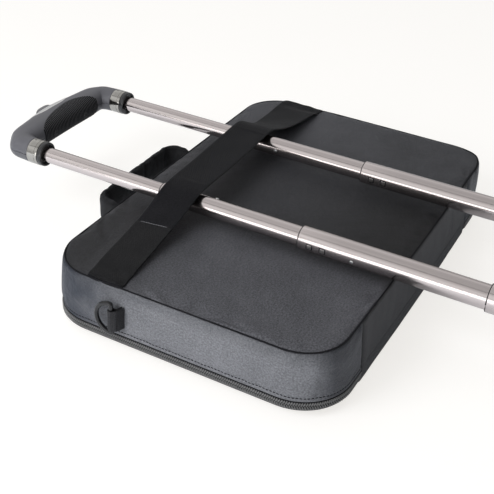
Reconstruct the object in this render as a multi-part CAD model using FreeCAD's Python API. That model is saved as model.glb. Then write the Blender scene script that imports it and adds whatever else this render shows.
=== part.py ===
import FreeCAD, Part
import math
import os

# Rolling laptop case: a soft clamshell case that rides on a four-stage telescopic handle
# with a two-wheel foot.  Millimetres.  The whole thing lies on the front panel of the case:
# +Z points out of the back panel (strap side), +Y runs along the tubes towards the grip,
# +X to the right.  Origin: centre of the flat face the front panel rests on.
# A "side" is -1 for left (-X) and 1 for right (+X).

Vector = FreeCAD.Vector
X_AXIS, Y_AXIS, Z_AXIS = (1, 0, 0), (0, 1, 0), (0, 0, 1)
SIDES = ((-1, "left"), (1, "right"))

TUBE_X = 73.35            # half distance between the two tube axes
TUBE_Z = 82.0             # height of the tube axes above the rest face
RUN = 0.05                # running clearance
FIT = 0.02                # gap between parts that sit tight together
OVER = 1.0                # how far a cutter reaches past what it cuts


# ------------------------------------------------------------------ helpers
def box(x_min, x_max, y_min, y_max, z_min, z_max):
    return Part.makeBox(x_max - x_min, y_max - y_min, z_max - z_min,
                        Vector(x_min, y_min, z_min))


def cylinder(base, axis, radius, length):
    return Part.makeCylinder(radius, length, Vector(*base), Vector(*axis))


def y_cylinder(x, z, radius, y_start, y_end):
    return cylinder((x, y_start, z), Y_AXIS, radius, y_end - y_start)


def tube_cylinder(side, radius, y_start, y_end):
    """Cylinder on the axis of one telescopic tube."""
    return y_cylinder(side * TUBE_X, TUBE_Z, radius, y_start, y_end)


def tube_ring(side, radius, bore, y_start, y_end):
    return tube_cylinder(side, radius, y_start, y_end).cut(
        tube_cylinder(side, bore, y_start - OVER, y_end + OVER))


def radial_box(side, azimuth, y_start, y_end, r_inner, r_outer, width):
    """Box along a tube at one azimuth (degrees from +X towards +Z), between two radii."""
    block = Part.makeBox(r_outer - r_inner, y_end - y_start, width,
                         Vector(r_inner, y_start, -width / 2.0))
    block.rotate(Vector(0, 0, 0), Vector(*Y_AXIS), -azimuth)
    block.translate(Vector(side * TUBE_X, 0, TUBE_Z))
    return block


def with_mirror(corners):
    """Corners followed by their mirror images across x = 0, in reverse order."""
    return corners + [(-x, y, radius) for x, y, radius in reversed(corners)]


def rounded_wire(corners, place):
    """Closed wire through corners (x, y, radius); place(x, y) puts a point in space."""
    bends = []            # start, middle and end of the arc at each corner
    for i, (x, y, radius) in enumerate(corners):
        corner = Vector(x, y, 0)
        if radius <= 0:
            bends.append((corner, None, corner))
            continue
        following = corners[(i + 1) % len(corners)]
        to_last = (Vector(*corners[i - 1][:2], 0) - corner).normalize()
        to_next = (Vector(*following[:2], 0) - corner).normalize()
        half_angle = to_last.getAngle(to_next) / 2.0
        tangent = radius / math.tan(half_angle)
        bisector = (to_last + to_next).normalize()
        bends.append((corner + to_last * tangent,
                      corner + bisector * (radius / math.sin(half_angle) - radius),
                      corner + to_next * tangent))
    edges = []
    for i, (start, middle, end) in enumerate(bends):
        if middle is not None:
            edges.append(Part.Arc(place(start.x, start.y), place(middle.x, middle.y),
                                  place(end.x, end.y)).toShape())
        target = bends[(i + 1) % len(bends)][0]
        if (target - end).Length > 1e-6:
            edges.append(Part.makeLine(place(end.x, end.y), place(target.x, target.y)))
    return Part.Wire(edges)


def prism(corners, z_min, z_max):
    wire = rounded_wire(corners, lambda x, y: Vector(x, y, z_min))
    return Part.Face(wire).extrude(Vector(0, 0, z_max - z_min))


# An outline is a rounded rectangle about the origin: (half width, half length, corner radius).
def outline_corners(outline):
    half_x, half_y, radius = outline
    return with_mirror([(half_x, -half_y, radius), (half_x, half_y, radius)])


def inset(outline, distance):
    return tuple(size - distance for size in outline)


def plate(outline, z_min, z_max):
    return prism(outline_corners(outline), z_min, z_max)


def loft(low_outline, z_low, high_outline, z_high):
    wires = [rounded_wire(outline_corners(outline), lambda x, y: Vector(x, y, z))
             for outline, z in ((low_outline, z_low), (high_outline, z_high))]
    return Part.makeLoft(wires, True, True)


def both(make):
    return Part.makeCompound([make(-1), make(1)])


# ------------------------------------------------------------------ telescopic handle
# outer radius, bore and (foot end, mouth) of each stage
UPPER_R, UPPER_BORE, UPPER_Y = 8.0, 7.0, (35.0, 270.0)
MIDDLE_R, MIDDLE_BORE, MIDDLE_Y = 9.5, 8.75, (-115.0, 101.3)
LOWER_R, LOWER_BORE, LOWER_Y = 11.3, 10.55, (-292.0, -49.5)
OUTER_R, OUTER_BORE, OUTER_Y = 13.0, 12.25, (-490.0, -226.8)      # fixed in the foot
MOUTH_FILLET = 0.35

BUSH_LEN = 32.0
FLANGE = 0.8
FLANGE_INSET = 0.25       # flange edge inside the tube's outer radius

PEG = 5.0                 # side of the square pegs on the lower bushes
PEG_AZIMUTH = 185.0
PEG_Y = (LOWER_Y[1] - 12.0, LOWER_Y[1] - 25.0)
PEG_ROOT = {-1: 0.6, 1: 0.9}      # start of a peg outside the middle tube, by side
PEG_PROUD = 0.2           # the lower bush's pegs stand this far out of the lower tube
PEG_WAY_DEPTH = 0.45
PEG_WAY_W = PEG + 0.8

# lock pins: azimuth and y, by side
MIDDLE_PIN = {-1: (50.0, 44.5), 1: (180.0, 48.5)}
LOWER_PIN = {-1: (190.0, -103.5), 1: (350.0, -103.5)}
PIN_R = 1.6
PIN_PROUD = 0.8
PIN_TRAVEL = 0.7
PIN_GAP = 0.12            # left under a pin at full travel
PIN_HEAD_FILLET = 0.75
PIN_SLOT_W = 2 * PIN_R + 1.2


def stage_tube(side, radius, bore, y_span, pin=None, peg_windows=()):
    tube = tube_ring(side, radius, bore, *y_span)
    mouth = y_span[1]
    lip = [e for e in tube.Edges
           if abs(e.BoundBox.YMin - mouth) < 1e-6 and abs(e.BoundBox.YMax - mouth) < 1e-6
           and e.BoundBox.XMax - e.BoundBox.XMin > 2 * radius - 0.01]
    tube = tube.makeFillet(MOUTH_FILLET, lip)
    if pin is not None:
        azimuth, y = pin
        angle = math.radians(azimuth)
        outward = (math.cos(angle), 0.0, math.sin(angle))
        start = (side * TUBE_X + outward[0] * (bore - OVER), y,
                 TUBE_Z + outward[2] * (bore - OVER))
        tube = tube.cut(cylinder(start, outward, PIN_R + RUN, radius - bore + 2.5))
    for y in peg_windows:
        tube = tube.cut(radial_box(side, PEG_AZIMUTH, y - PEG / 2.0, y + PEG / 2.0,
                                   bore - OVER, radius + OVER, PEG))
    return tube


def bush(side, inner_tube_r, bore, radius, mouth, pin=None):
    """Flanged bush in a tube's mouth, slotted for the inner tube's lock pin."""
    sleeve = tube_ring(side, bore - RUN, inner_tube_r + RUN, mouth - BUSH_LEN, mouth)
    sleeve = sleeve.fuse(tube_ring(side, radius - FLANGE_INSET, inner_tube_r + RUN,
                                   mouth, mouth + FLANGE))
    if pin is not None:
        sleeve = sleeve.cut(radial_box(side, pin[0], mouth - BUSH_LEN - OVER,
                                       mouth + FLANGE + OVER, inner_tube_r - OVER,
                                       radius + OVER, PIN_SLOT_W))
    return sleeve.removeSplitter()


def middle_bush(side):
    return bush(side, UPPER_R, MIDDLE_BORE, MIDDLE_R, MIDDLE_Y[1])


def lower_bush(side):
    """Bush with two square pegs that stand in the windows of the lower tube."""
    shape = bush(side, MIDDLE_R, LOWER_BORE, LOWER_R, LOWER_Y[1], MIDDLE_PIN[side])
    # on the right the pin slot meets the pegs' azimuth, so those pegs start further out
    root = MIDDLE_R + PEG_ROOT[side]
    for y in PEG_Y:
        peg = radial_box(side, PEG_AZIMUTH, y - PEG / 2 + RUN, y + PEG / 2 - RUN,
                         root, LOWER_R + PEG_PROUD + 0.05, PEG - 2 * RUN)
        keep = tube_ring(side, LOWER_R + PEG_PROUD, root, y - PEG, y + PEG)
        shape = shape.fuse(peg.common(keep))
    return shape


def outer_bush(side):
    mouth = OUTER_Y[1]
    shape = bush(side, LOWER_R, OUTER_BORE, OUTER_R, mouth, LOWER_PIN[side])
    # a second way lets the square pegs of the lower stage pass
    return shape.cut(radial_box(side, PEG_AZIMUTH, mouth - BUSH_LEN - OVER,
                                mouth + FLANGE + OVER, LOWER_R - OVER,
                                LOWER_R + PEG_WAY_DEPTH, PEG_WAY_W))


def lock_pin(side, pin, inner_tube_r, radius):
    """Round lock pin standing in a hole of its tube, with a rounded head."""
    azimuth, y = pin
    r_start = inner_tube_r + PIN_TRAVEL + PIN_GAP
    length = radius + PIN_PROUD - r_start
    shape = Part.makeCylinder(PIN_R, length)
    shape = shape.makeFillet(PIN_HEAD_FILLET,
                             [e for e in shape.Edges if e.BoundBox.ZMin > length - 1e-6])
    shape.translate(Vector(0, 0, r_start))
    shape.rotate(Vector(0, 0, 0), Vector(*Y_AXIS), 90.0 - azimuth)
    shape.translate(Vector(side * TUBE_X, y, TUBE_Z))
    return shape


# ------------------------------------------------------------------ grip
GRIP_H = 26.0
GRIP_Y0, GRIP_Y1 = 268.5, 304.0
GRIP_X = 87.5
RING_R = 13.0
COLLAR_Y0, COLLAR_Y1, RING_Y1 = 242.5, 247.4, 260.2
PAD_X0, PAD_X1, PAD_Y1 = -44.0, 49.0, 288.5
PAD_T = 2.6
STUB_Y1 = 276.0
BAR_Y0, BAR_Y1 = 276.0, 281.0
BAR_X, BAR_HALF_H = 76.5, 3.4
BUTTON_W, BUTTON_H = 25.0, 13.0
BUTTON_TRAVEL = 4.0
BUTTON_GAP = 0.15
TRAVEL_GAP = 0.4
DOME_R = 60.0             # curve of the button's face, seen in plan
SCREW_X, SCREW_Z = (-26.0, 26.0), 80.3
ROD_R, ROD_WAY_R, ROD_Y0 = 3.0, 3.2, 60.0
SPRING_R, SPRING_WIRE_R, SPRING_TURNS = 2.5, 0.35, 4
SPRING_Y = (BAR_Y0 - 6.5, BAR_Y0 - 0.05)


def grip_form(depth):
    """Grip bar drawn in plan and rounded over, with a round stub on each tube.

    All surfaces lie about depth inside the outside of the grip.
    """
    shoulder_y = 282.5 - depth * 0.6
    left = [(-GRIP_X + depth, GRIP_Y0 + depth, 6.5),
            (-GRIP_X + depth, shoulder_y, 9.5),
            (-62.0, 296.5 - depth, 30.0)]
    right = [(-x, y, radius) for x, y, radius in reversed(left)]
    form = prism(left + [(0.0, GRIP_Y1 + 1.0 - depth, 140.0)] + right,
                 TUBE_Z - GRIP_H / 2 + depth, TUBE_Z + GRIP_H / 2 - depth)
    edges = [e for e in form.Edges if abs(e.BoundBox.ZMax - e.BoundBox.ZMin) < 1e-6]
    for radius in (6.4, 6.0, 5.0, 4.0, 2.0):
        # guards against a radius too large to fillet: the next smaller one is taken
        try:
            rounded = form.makeFillet(radius, edges)
            if rounded.isValid() and rounded.Volume > 0:
                form = rounded
                break
        except Exception:
            continue
    for side, _ in SIDES:
        form = form.fuse(tube_cylinder(side, RING_R - depth - 0.15, RING_Y1, STUB_Y1))
    return form


def grip_pieces():
    """Top shell (+Z half), bottom shell and pad of the grip."""
    grip = grip_form(0.0)
    core = grip_form(PAD_T)
    pad_zone = box(PAD_X0, PAD_X1, GRIP_Y0 - 5, PAD_Y1, TUBE_Z - GRIP_H, TUBE_Z + GRIP_H)
    pad = grip.common(pad_zone).cut(core)
    body = grip.cut(pad_zone).fuse(core.common(pad_zone))

    bar_hollow = box(-77.2, 77.2, BAR_Y0 - BUTTON_TRAVEL - TRAVEL_GAP, BAR_Y1 + 0.3,
                     TUBE_Z - 4.2, TUBE_Z + 4.2)
    button_half_w = BUTTON_W / 2 + BUTTON_GAP
    button_half_h = BUTTON_H / 2 + BUTTON_GAP
    button_hole = box(-button_half_w, button_half_w,
                      BAR_Y1 - BUTTON_TRAVEL - TRAVEL_GAP, GRIP_Y1 + 10,
                      TUBE_Z - button_half_h, TUBE_Z + button_half_h)
    spring_hole = y_cylinder(0, TUBE_Z, 3.4, BAR_Y0 - 6.6, BAR_Y0)
    sockets = [tube_cylinder(side, UPPER_R + FIT, GRIP_Y0 - 10, UPPER_Y[1] + FIT)
               for side, _ in SIDES]
    rod_ways = [tube_cylinder(side, ROD_WAY_R, GRIP_Y0 - 10, BAR_Y0) for side, _ in SIDES]
    screw_ways = [cylinder((x, GRIP_Y0 - 6, SCREW_Z), Y_AXIS, radius, length)
                  for x in SCREW_X
                  for radius, length in ((1.55, 22.0), (3.05, 9.6))]   # shank, head
    for cutter in [bar_hollow, button_hole, spring_hole] + sockets + rod_ways + screw_ways:
        body = body.cut(cutter)
    for cutter in screw_ways + [spring_hole]:
        pad = pad.cut(cutter)
    top_half = box(-120, 120, 240, 330, TUBE_Z, TUBE_Z + 40)
    bottom_half = box(-120, 120, 240, 330, TUBE_Z - 40, TUBE_Z)
    return body.common(top_half), body.common(bottom_half), pad


def grip_screw(x):
    head = cylinder((x, GRIP_Y0 - 0.6, SCREW_Z), Y_AXIS, 2.9, 2.2)
    recess = cylinder((x, GRIP_Y0 - 0.7, SCREW_Z), Y_AXIS, 1.1, 1.3)
    shank = cylinder((x, GRIP_Y0 + 1.6, SCREW_Z), Y_AXIS, 1.45, 12.0)
    return head.cut(recess).fuse(shank)


def chrome_ring(side):
    return tube_ring(side, RING_R, UPPER_R + FIT, COLLAR_Y1, RING_Y1 - FIT)


def end_collar(side):
    """Collar below the chrome ring, recessed at its foot end."""
    collar = tube_ring(side, RING_R - 0.3, UPPER_R + FIT, COLLAR_Y0, COLLAR_Y1 - FIT)
    return collar.cut(tube_ring(side, RING_R - 1.7, UPPER_R,
                                COLLAR_Y0 - OVER, COLLAR_Y0 + 2.2))


def release_button():
    block = box(-BUTTON_W / 2, BUTTON_W / 2, BAR_Y1 + FIT, GRIP_Y1 + 5,
                TUBE_Z - BUTTON_H / 2, TUBE_Z + BUTTON_H / 2)
    dome = cylinder((0, GRIP_Y1 + 3.0 - DOME_R, TUBE_Z - 30), Z_AXIS, DOME_R, 60.0)
    return block.common(dome)


def release_bar():
    bar = box(-BAR_X, BAR_X, BAR_Y0, BAR_Y1, TUBE_Z - BAR_HALF_H, TUBE_Z + BAR_HALF_H)
    for x in SCREW_X:
        # the bar straddles the two screws
        bar = bar.cut(box(x - 1.9, x + 1.9, BAR_Y0 - OVER, BAR_Y1 + OVER,
                          TUBE_Z - 4.0, SCREW_Z + 1.9))
    return bar


def push_rod(side):
    return tube_cylinder(side, ROD_R, ROD_Y0, BAR_Y0 - FIT)


def button_spring():
    y_start, y_end = SPRING_Y
    height = y_end - y_start - 2 * SPRING_WIRE_R
    path = Part.makeHelix(height / SPRING_TURNS, height, SPRING_R)
    section = Part.Wire([Part.makeCircle(SPRING_WIRE_R, Vector(SPRING_R, 0, 0),
                                         Vector(*Y_AXIS))])
    spring = Part.Wire(path.Edges).makePipeShell([section], True, True)
    spring.rotate(Vector(0, 0, 0), Vector(*X_AXIS), -90)
    spring.translate(Vector(0, y_start + SPRING_WIRE_R, TUBE_Z))
    return spring


# ------------------------------------------------------------------ foot
LEDGE_Y, LEDGE_T, LEDGE_X = -470.0, 6.0, 150.0
LEDGE_Y0 = LEDGE_Y - LEDGE_T
HOUSING_Y0, HOUSING_Y1, HOUSING_X = -526.0, -476.0, 112.0
BRACKET_X, BRACKET_Y0 = 75.0, -537.0
AXLE_Y, AXLE_Z, AXLE_R, AXLE_X = -509.0, TUBE_Z, 4.0, 145.0
WHEEL_R, WHEEL_W, WHEEL_X = 32.0, 24.0, 127.0
HUB_R = 24.0
COVER_Y0 = HOUSING_Y0 - 3.0
# (x, z) of the screws
COVER_SCREWS = [(x, z) for x in (-92.0, 92.0) for z in (77.0, 91.0)]
LEDGE_SCREWS = [(x, z) for x in (-BRACKET_X, BRACKET_X) for z in (30.0, 50.0)]
LEDGE_HEAD_DEPTH = 2.6


def axle_cylinder(x, radius, length):
    """Cylinder on the wheel axis, from x towards +X."""
    return cylinder((x, AXLE_Y, AXLE_Z), X_AXIS, radius, length)


def base_housing():
    housing = prism(with_mirror([(-HOUSING_X, HOUSING_Y0, 14)])
                    + with_mirror([(HOUSING_X, HOUSING_Y1, 6)]), 66.0, 99.0)
    for side, _ in SIDES:
        # brackets that carry the ledge and reach down to the feet
        housing = housing.fuse(box(side * BRACKET_X - 15, side * BRACKET_X + 15,
                                   BRACKET_Y0, LEDGE_Y0, 16.0, 70.0))
    for side, _ in SIDES:
        housing = housing.cut(tube_cylinder(side, OUTER_R + FIT, OUTER_Y[0], HOUSING_Y1 + OVER))
    housing = housing.cut(axle_cylinder(-130, AXLE_R + FIT, 260))
    # hollow between the tubes, with a web left around the axle
    web = box(-54, 54, AXLE_Y - 7, AXLE_Y + 7, 60.0, 100.0)
    housing = housing.cut(box(-54, 54, HOUSING_Y0 - OVER, HOUSING_Y1 - 8, 70.0, 95.0).cut(web))
    for x, z in COVER_SCREWS:
        housing = housing.cut(y_cylinder(x, z, 1.3, HOUSING_Y0 - OVER, HOUSING_Y0 + 11))
    for x, z in LEDGE_SCREWS:
        housing = housing.cut(y_cylinder(x, z, 1.8, LEDGE_Y0 - 14, LEDGE_Y))
    return housing


def base_cover():
    cover = box(-98, 98, COVER_Y0, HOUSING_Y0 - FIT, 71.0, 97.0)
    for x, z in COVER_SCREWS:
        cover = cover.cut(y_cylinder(x, z, 1.5, COVER_Y0 - OVER, HOUSING_Y0))
    return cover


def load_ledge():
    ledge = prism(with_mirror([(-LEDGE_X, LEDGE_Y0, 0)])
                  + with_mirror([(LEDGE_X, LEDGE_Y, 0)]), 14.0, 66.0)
    for x, z in LEDGE_SCREWS:
        ledge = ledge.cut(y_cylinder(x, z, 2.0, LEDGE_Y0 - OVER, LEDGE_Y + OVER))
        ledge = ledge.cut(y_cylinder(x, z, 3.6, LEDGE_Y - LEDGE_HEAD_DEPTH, LEDGE_Y + OVER))
    corner_edges = [e for e in ledge.Edges
                    if abs(e.BoundBox.YMax - e.BoundBox.YMin - LEDGE_T) < 1e-6
                    and abs(abs(e.BoundBox.Center.x) - LEDGE_X) < 1e-3]
    return ledge.makeFillet(12.0, corner_edges)


def base_screws():
    """Cover screws, heads towards -Y, and ledge screws, heads towards +Y."""
    head_seat = LEDGE_Y - LEDGE_HEAD_DEPTH
    cover = [y_cylinder(x, z, 1.25, COVER_Y0, HOUSING_Y0 + 10).fuse(
        y_cylinder(x, z, 2.6, COVER_Y0 - 1.6, COVER_Y0 - FIT)) for x, z in COVER_SCREWS]
    ledge = [y_cylinder(x, z, 1.7, LEDGE_Y0 - 13, head_seat).fuse(
        y_cylinder(x, z, 3.4, head_seat, LEDGE_Y - 0.8)) for x, z in LEDGE_SCREWS]
    return Part.makeCompound(cover + ledge)


def axle_clip(side):
    thickness = 1.6
    x_near = side * (WHEEL_X + WHEEL_W / 2 + 1.0)
    x = min(x_near, x_near + side * thickness)
    return axle_cylinder(x, 7.5, thickness).cut(axle_cylinder(x - OVER, AXLE_R + 0.01, 4))


def base_foot(side):
    y_end = BRACKET_Y0 - 4.5
    foot = box(side * BRACKET_X - 13, side * BRACKET_X + 13, y_end, BRACKET_Y0 - FIT,
               18.0, 58.0)
    return foot.makeFillet(1.8, [e for e in foot.Edges
                                 if abs(e.BoundBox.Center.y - y_end) < 1e-6])


def wheel_hub(side):
    """Hub dished on both faces, with five round holes through its web."""
    x_start = side * WHEEL_X - WHEEL_W / 2
    hub = axle_cylinder(x_start, HUB_R, WHEEL_W)
    dish = axle_cylinder(x_start - OVER, 20.5, 8.0).cut(axle_cylinder(x_start - 2, 9.0, 10.0))
    far_dish = dish.copy()
    far_dish.translate(Vector(WHEEL_W - 6.0, 0, 0))
    hub = hub.cut(dish).cut(far_dish)
    hole_count, hole_pitch_r = 5, 14.7
    for i in range(hole_count):
        angle = math.radians(360 / hole_count * i + 90)
        hub = hub.cut(cylinder((x_start - OVER, AXLE_Y + hole_pitch_r * math.cos(angle),
                                AXLE_Z + hole_pitch_r * math.sin(angle)),
                               X_AXIS, 3.8, WHEEL_W + 2 * OVER))
    return hub.cut(axle_cylinder(x_start - OVER, AXLE_R + RUN, WHEEL_W + 2 * OVER))


def wheel_tyre(side):
    x_start = side * WHEEL_X - WHEEL_W / 2
    tyre = axle_cylinder(x_start, WHEEL_R, WHEEL_W)
    # edges 0 and 2 are the two rims, edge 1 is the seam
    tyre = tyre.makeFillet(5.0, tyre.Edges[0:3:2])
    return tyre.cut(axle_cylinder(x_start - OVER, HUB_R + FIT, WHEEL_W + 2 * OVER))


# ------------------------------------------------------------------ case
SEAM_OUTLINE = (212.5, 139.0, 42.0)       # at the back seam
ZIP_OUTLINE = (215.5, 145.0, 47.5)        # at the zip
DIVIDER_OUTLINE = (196.0, 122.0, 24.0)
WALL = 4.0
ZIP_Z = 12.0              # parting plane of the zip
ZIP_TAPE_H = 4.0          # height of each half of the zip
BACK_Z0, BACK_Z1 = 65.6, 68.6
SEAM_Z = (BACK_Z0 + BACK_Z1) / 2
WALL_Z0 = ZIP_Z + ZIP_TAPE_H + 0.05
WALL_Z1 = BACK_Z0 - 0.1
TAPE_OUT = 1.5            # the zip tape stands this far outside the wall
BOTTOM_X = 142.5          # vertical seams on the bottom edge
BOTTOM_GAP = 0.15
FRONT_T = 3.0
FRONT_INSET = 12.0        # the front panel lies this far inside the zip outline
FRONT_OUTLINE = inset(ZIP_OUTLINE, FRONT_INSET)


def taper(z_low, z_high, depth):
    """Solid bounded by the case's wall between two heights, depth inside its outside."""
    def outline_at(z):
        share = (z - ZIP_Z) / (SEAM_Z - ZIP_Z)
        return tuple(at_zip + (at_seam - at_zip) * share - depth
                     for at_zip, at_seam in zip(ZIP_OUTLINE, SEAM_OUTLINE))
    return loft(outline_at(z_low), z_low, outline_at(z_high), z_high)


def wall_ring(z_low):
    return taper(z_low, WALL_Z1, 0.0).cut(taper(z_low - 0.01, WALL_Z1 + 0.01, WALL))


def wall_cutter():
    """Cuts a part back to just outside the wall."""
    return taper(WALL_Z0, WALL_Z1, -0.05)


def bottom_zone(gap=0.0):
    """Stretch of the bottom edge (-Y) between the vertical seams."""
    return box(-BOTTOM_X - gap, BOTTOM_X + gap, -200, -100, 0, 90)


def zip_ring(z_min, z_max):
    return plate(inset(ZIP_OUTLINE, -TAPE_OUT), z_min, z_max).cut(
        plate(inset(ZIP_OUTLINE, WALL), z_min - OVER, z_max + OVER))


def lower_zip_ring():
    return zip_ring(ZIP_Z - ZIP_TAPE_H, ZIP_Z - 0.05)


def lid_rim():
    """Sloping wall from the front panel out to the lower half of the zip."""
    z_low, z_high = FRONT_T + FIT, ZIP_Z - ZIP_TAPE_H - FIT
    low_inset, high_inset = FRONT_INSET - 1.5, 1.0

    def cone(depth, extend):
        shift = (low_inset - high_inset) * extend / (z_high - z_low)
        return loft(inset(ZIP_OUTLINE, low_inset + shift + depth), z_low - extend,
                    inset(ZIP_OUTLINE, high_inset - shift + depth), z_high + extend)
    return cone(0.0, 0.0).cut(cone(WALL, 0.5))


def laptop_strap():
    """C-shaped strap at the top edge: upright, back leg and front leg."""
    half_w, y_end, z_min, z_max = 19, 128.5, 19.6, 60.5
    return box(-half_w, half_w, 126.5, y_end, z_min, z_max).fuse(
        box(-half_w, half_w, 100.0, y_end, 59.0, z_max)).fuse(
        box(-half_w, half_w, 90.0, y_end, z_min, 21.0))


# ------------------------------------------------------------------ strap over the tubes
STRAP_Y0, STRAP_Y1, STRAP_T = 55.0, 98.0, 1.7
STRAP_Z = BACK_Z1 + 0.05
STRAP_TOP = 95.3
STRAP_END = SEAM_OUTLINE[0] - 0.5
STRAP_FOOT = 165.0        # x where the strap leaves the back panel
STRAP_KNEE = 82.0         # x where it bends over the tubes


def trolley_strap():
    # x, z, corner radius
    under = [(-STRAP_END, STRAP_Z, 0),
             (-STRAP_FOOT, STRAP_Z, 3),
             (-STRAP_KNEE, STRAP_TOP, 12)]
    over = [(STRAP_END, STRAP_Z + STRAP_T, 0),
            (STRAP_FOOT + 0.6, STRAP_Z + STRAP_T, 3),
            (STRAP_KNEE + 0.9, STRAP_TOP + STRAP_T, 13.5)]
    wire = rounded_wire(with_mirror(under) + with_mirror(over),
                        lambda x, z: Vector(x, STRAP_Y0, z))
    return Part.Face(wire).extrude(Vector(0, STRAP_Y1 - STRAP_Y0, 0))


# ------------------------------------------------------------------ side rings
RING_X, RING_Y, RING_Z = 219.6, 62.0, 38.0
TAB_Z0, TAB_H, TAB_HALF_W = 25.2, 23.3, 3.8
RING_ROD, RING_BEND = 2.2, 16.0           # rod radius, bend radius


def ring_tab(side):
    """Tab on a side wall, looped around the straight bar of the D-ring."""
    x_ring = side * RING_X
    eye = cylinder((x_ring, RING_Y, TAB_Z0), Z_AXIS, RING_ROD + 1.8, TAB_H)
    x_min, x_max = sorted((x_ring, side * (ZIP_OUTLINE[0] - 8.0)))
    root = box(x_min, x_max, RING_Y - TAB_HALF_W, RING_Y + TAB_HALF_W, TAB_Z0, TAB_Z0 + TAB_H)
    tab = eye.fuse(root).cut(wall_cutter())
    return tab.cut(cylinder((x_ring, RING_Y, RING_Z - 20), Z_AXIS, RING_ROD + RUN, 40.0))


def d_ring(side):
    x_ring = side * RING_X
    bow = Part.makeTorus(RING_BEND, RING_ROD, Vector(x_ring, RING_Y, RING_Z), Vector(*X_AXIS))
    bow = bow.common(box(x_ring - 10, x_ring + 10, RING_Y, RING_Y + 40, 0, 70))
    ring = bow.fuse(cylinder((x_ring, RING_Y, RING_Z - RING_BEND), Z_AXIS,
                             RING_ROD, 2 * RING_BEND))
    for end in (-1, 1):
        ring = ring.fuse(Part.makeSphere(RING_ROD, Vector(x_ring, RING_Y,
                                                          RING_Z + end * RING_BEND)))
    return ring.removeSplitter()


# ------------------------------------------------------------------ carry handle, top edge
HANDLE_Y, HANDLE_Z = 150.0, 35.0
HANDLE_X, HANDLE_T, HANDLE_W, HANDLE_TOP = 71.0, 9.0, 32.0, 190.0
HANDLE_BEND = 38.0


def handle_anchor(side):
    return box(side * HANDLE_X - HANDLE_T / 2, side * HANDLE_X + HANDLE_T / 2,
               138.0, HANDLE_Y - 0.1, HANDLE_Z - 5.0, HANDLE_Z + 5.0).cut(wall_cutter())


def carry_handle():
    """U-shaped loop whose width tapers to a thin edge at its two ends."""
    outer_x = HANDLE_X + HANDLE_T / 2
    inner_x = HANDLE_X - HANDLE_T / 2
    half_w = HANDLE_W / 2
    loop = prism(with_mirror([(-outer_x, HANDLE_Y - 2, 0),
                              (-outer_x, HANDLE_TOP, HANDLE_BEND)])
                 + with_mirror([(inner_x, HANDLE_Y - 2, 0),
                                (inner_x, HANDLE_TOP - HANDLE_T, HANDLE_BEND - HANDLE_T)]),
                 HANDLE_Z - half_w, HANDLE_Z + half_w)
    # y and z from the handle's root
    wedge_points = [(0.8, -0.7), (0.8, 0.7), (14.2, half_w),
                    (50, half_w), (50, -half_w), (14.2, -half_w)]
    outline = Part.makePolygon([Vector(-100, HANDLE_Y + y, HANDLE_Z + z)
                                for y, z in wedge_points + wedge_points[:1]])
    return loop.common(Part.Face(outline).extrude(Vector(200, 0, 0)))


# ------------------------------------------------------------------ zip sliders, top edge
SLIDER_X, SLIDER_HALF_W = 20.0, 6
SLIDER_Y0 = ZIP_OUTLINE[1] + TAPE_OUT + 0.05
SLIDER_Y1 = SLIDER_Y0 + 3.0
POST_Y, POST_R, POST_HALF_H = SLIDER_Y1 + 2.2, 1.0, 3.2


def zip_slider(side):
    """Slider body with two lugs that hold the pull's post."""
    x = side * SLIDER_X
    slider = box(x - SLIDER_HALF_W, x + SLIDER_HALF_W, SLIDER_Y0, SLIDER_Y1,
                 ZIP_Z - 4, ZIP_Z + 4)
    end_edges = [e for e in slider.Edges
                 if abs(e.BoundBox.Center.x - x) > SLIDER_HALF_W - 0.1]
    slider = slider.makeFillet(1.0, end_edges)
    for z_min, z_max in ((-POST_HALF_H, -1.9), (1.9, POST_HALF_H)):
        slider = slider.fuse(box(x - POST_R, x + POST_R, SLIDER_Y1 - 0.5, POST_Y,
                                 ZIP_Z + z_min, ZIP_Z + z_max))
    return slider.fuse(cylinder((x, POST_Y, ZIP_Z - POST_HALF_H), Z_AXIS,
                                POST_R, 2 * POST_HALF_H))


def zip_pull(side):
    """Pull that points away from the middle: thin arm, eye and thicker finger grip."""
    x = side * SLIDER_X
    pull = box(*sorted((x, x + side * 26)), POST_Y - 0.9, POST_Y + 0.9,
               ZIP_Z - 1.6, ZIP_Z + 1.6)
    pull = pull.fuse(cylinder((x, POST_Y, ZIP_Z - 1.6), Z_AXIS, 2.0, 3.2))
    pull = pull.fuse(box(*sorted((x + side * 9, x + side * 28)), POST_Y - 1.1, POST_Y + 1.1,
                         ZIP_Z - 3.0, ZIP_Z + 3.0))
    return pull.cut(cylinder((x, POST_Y, ZIP_Z - 5), Z_AXIS, POST_R + RUN, 10))


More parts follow.
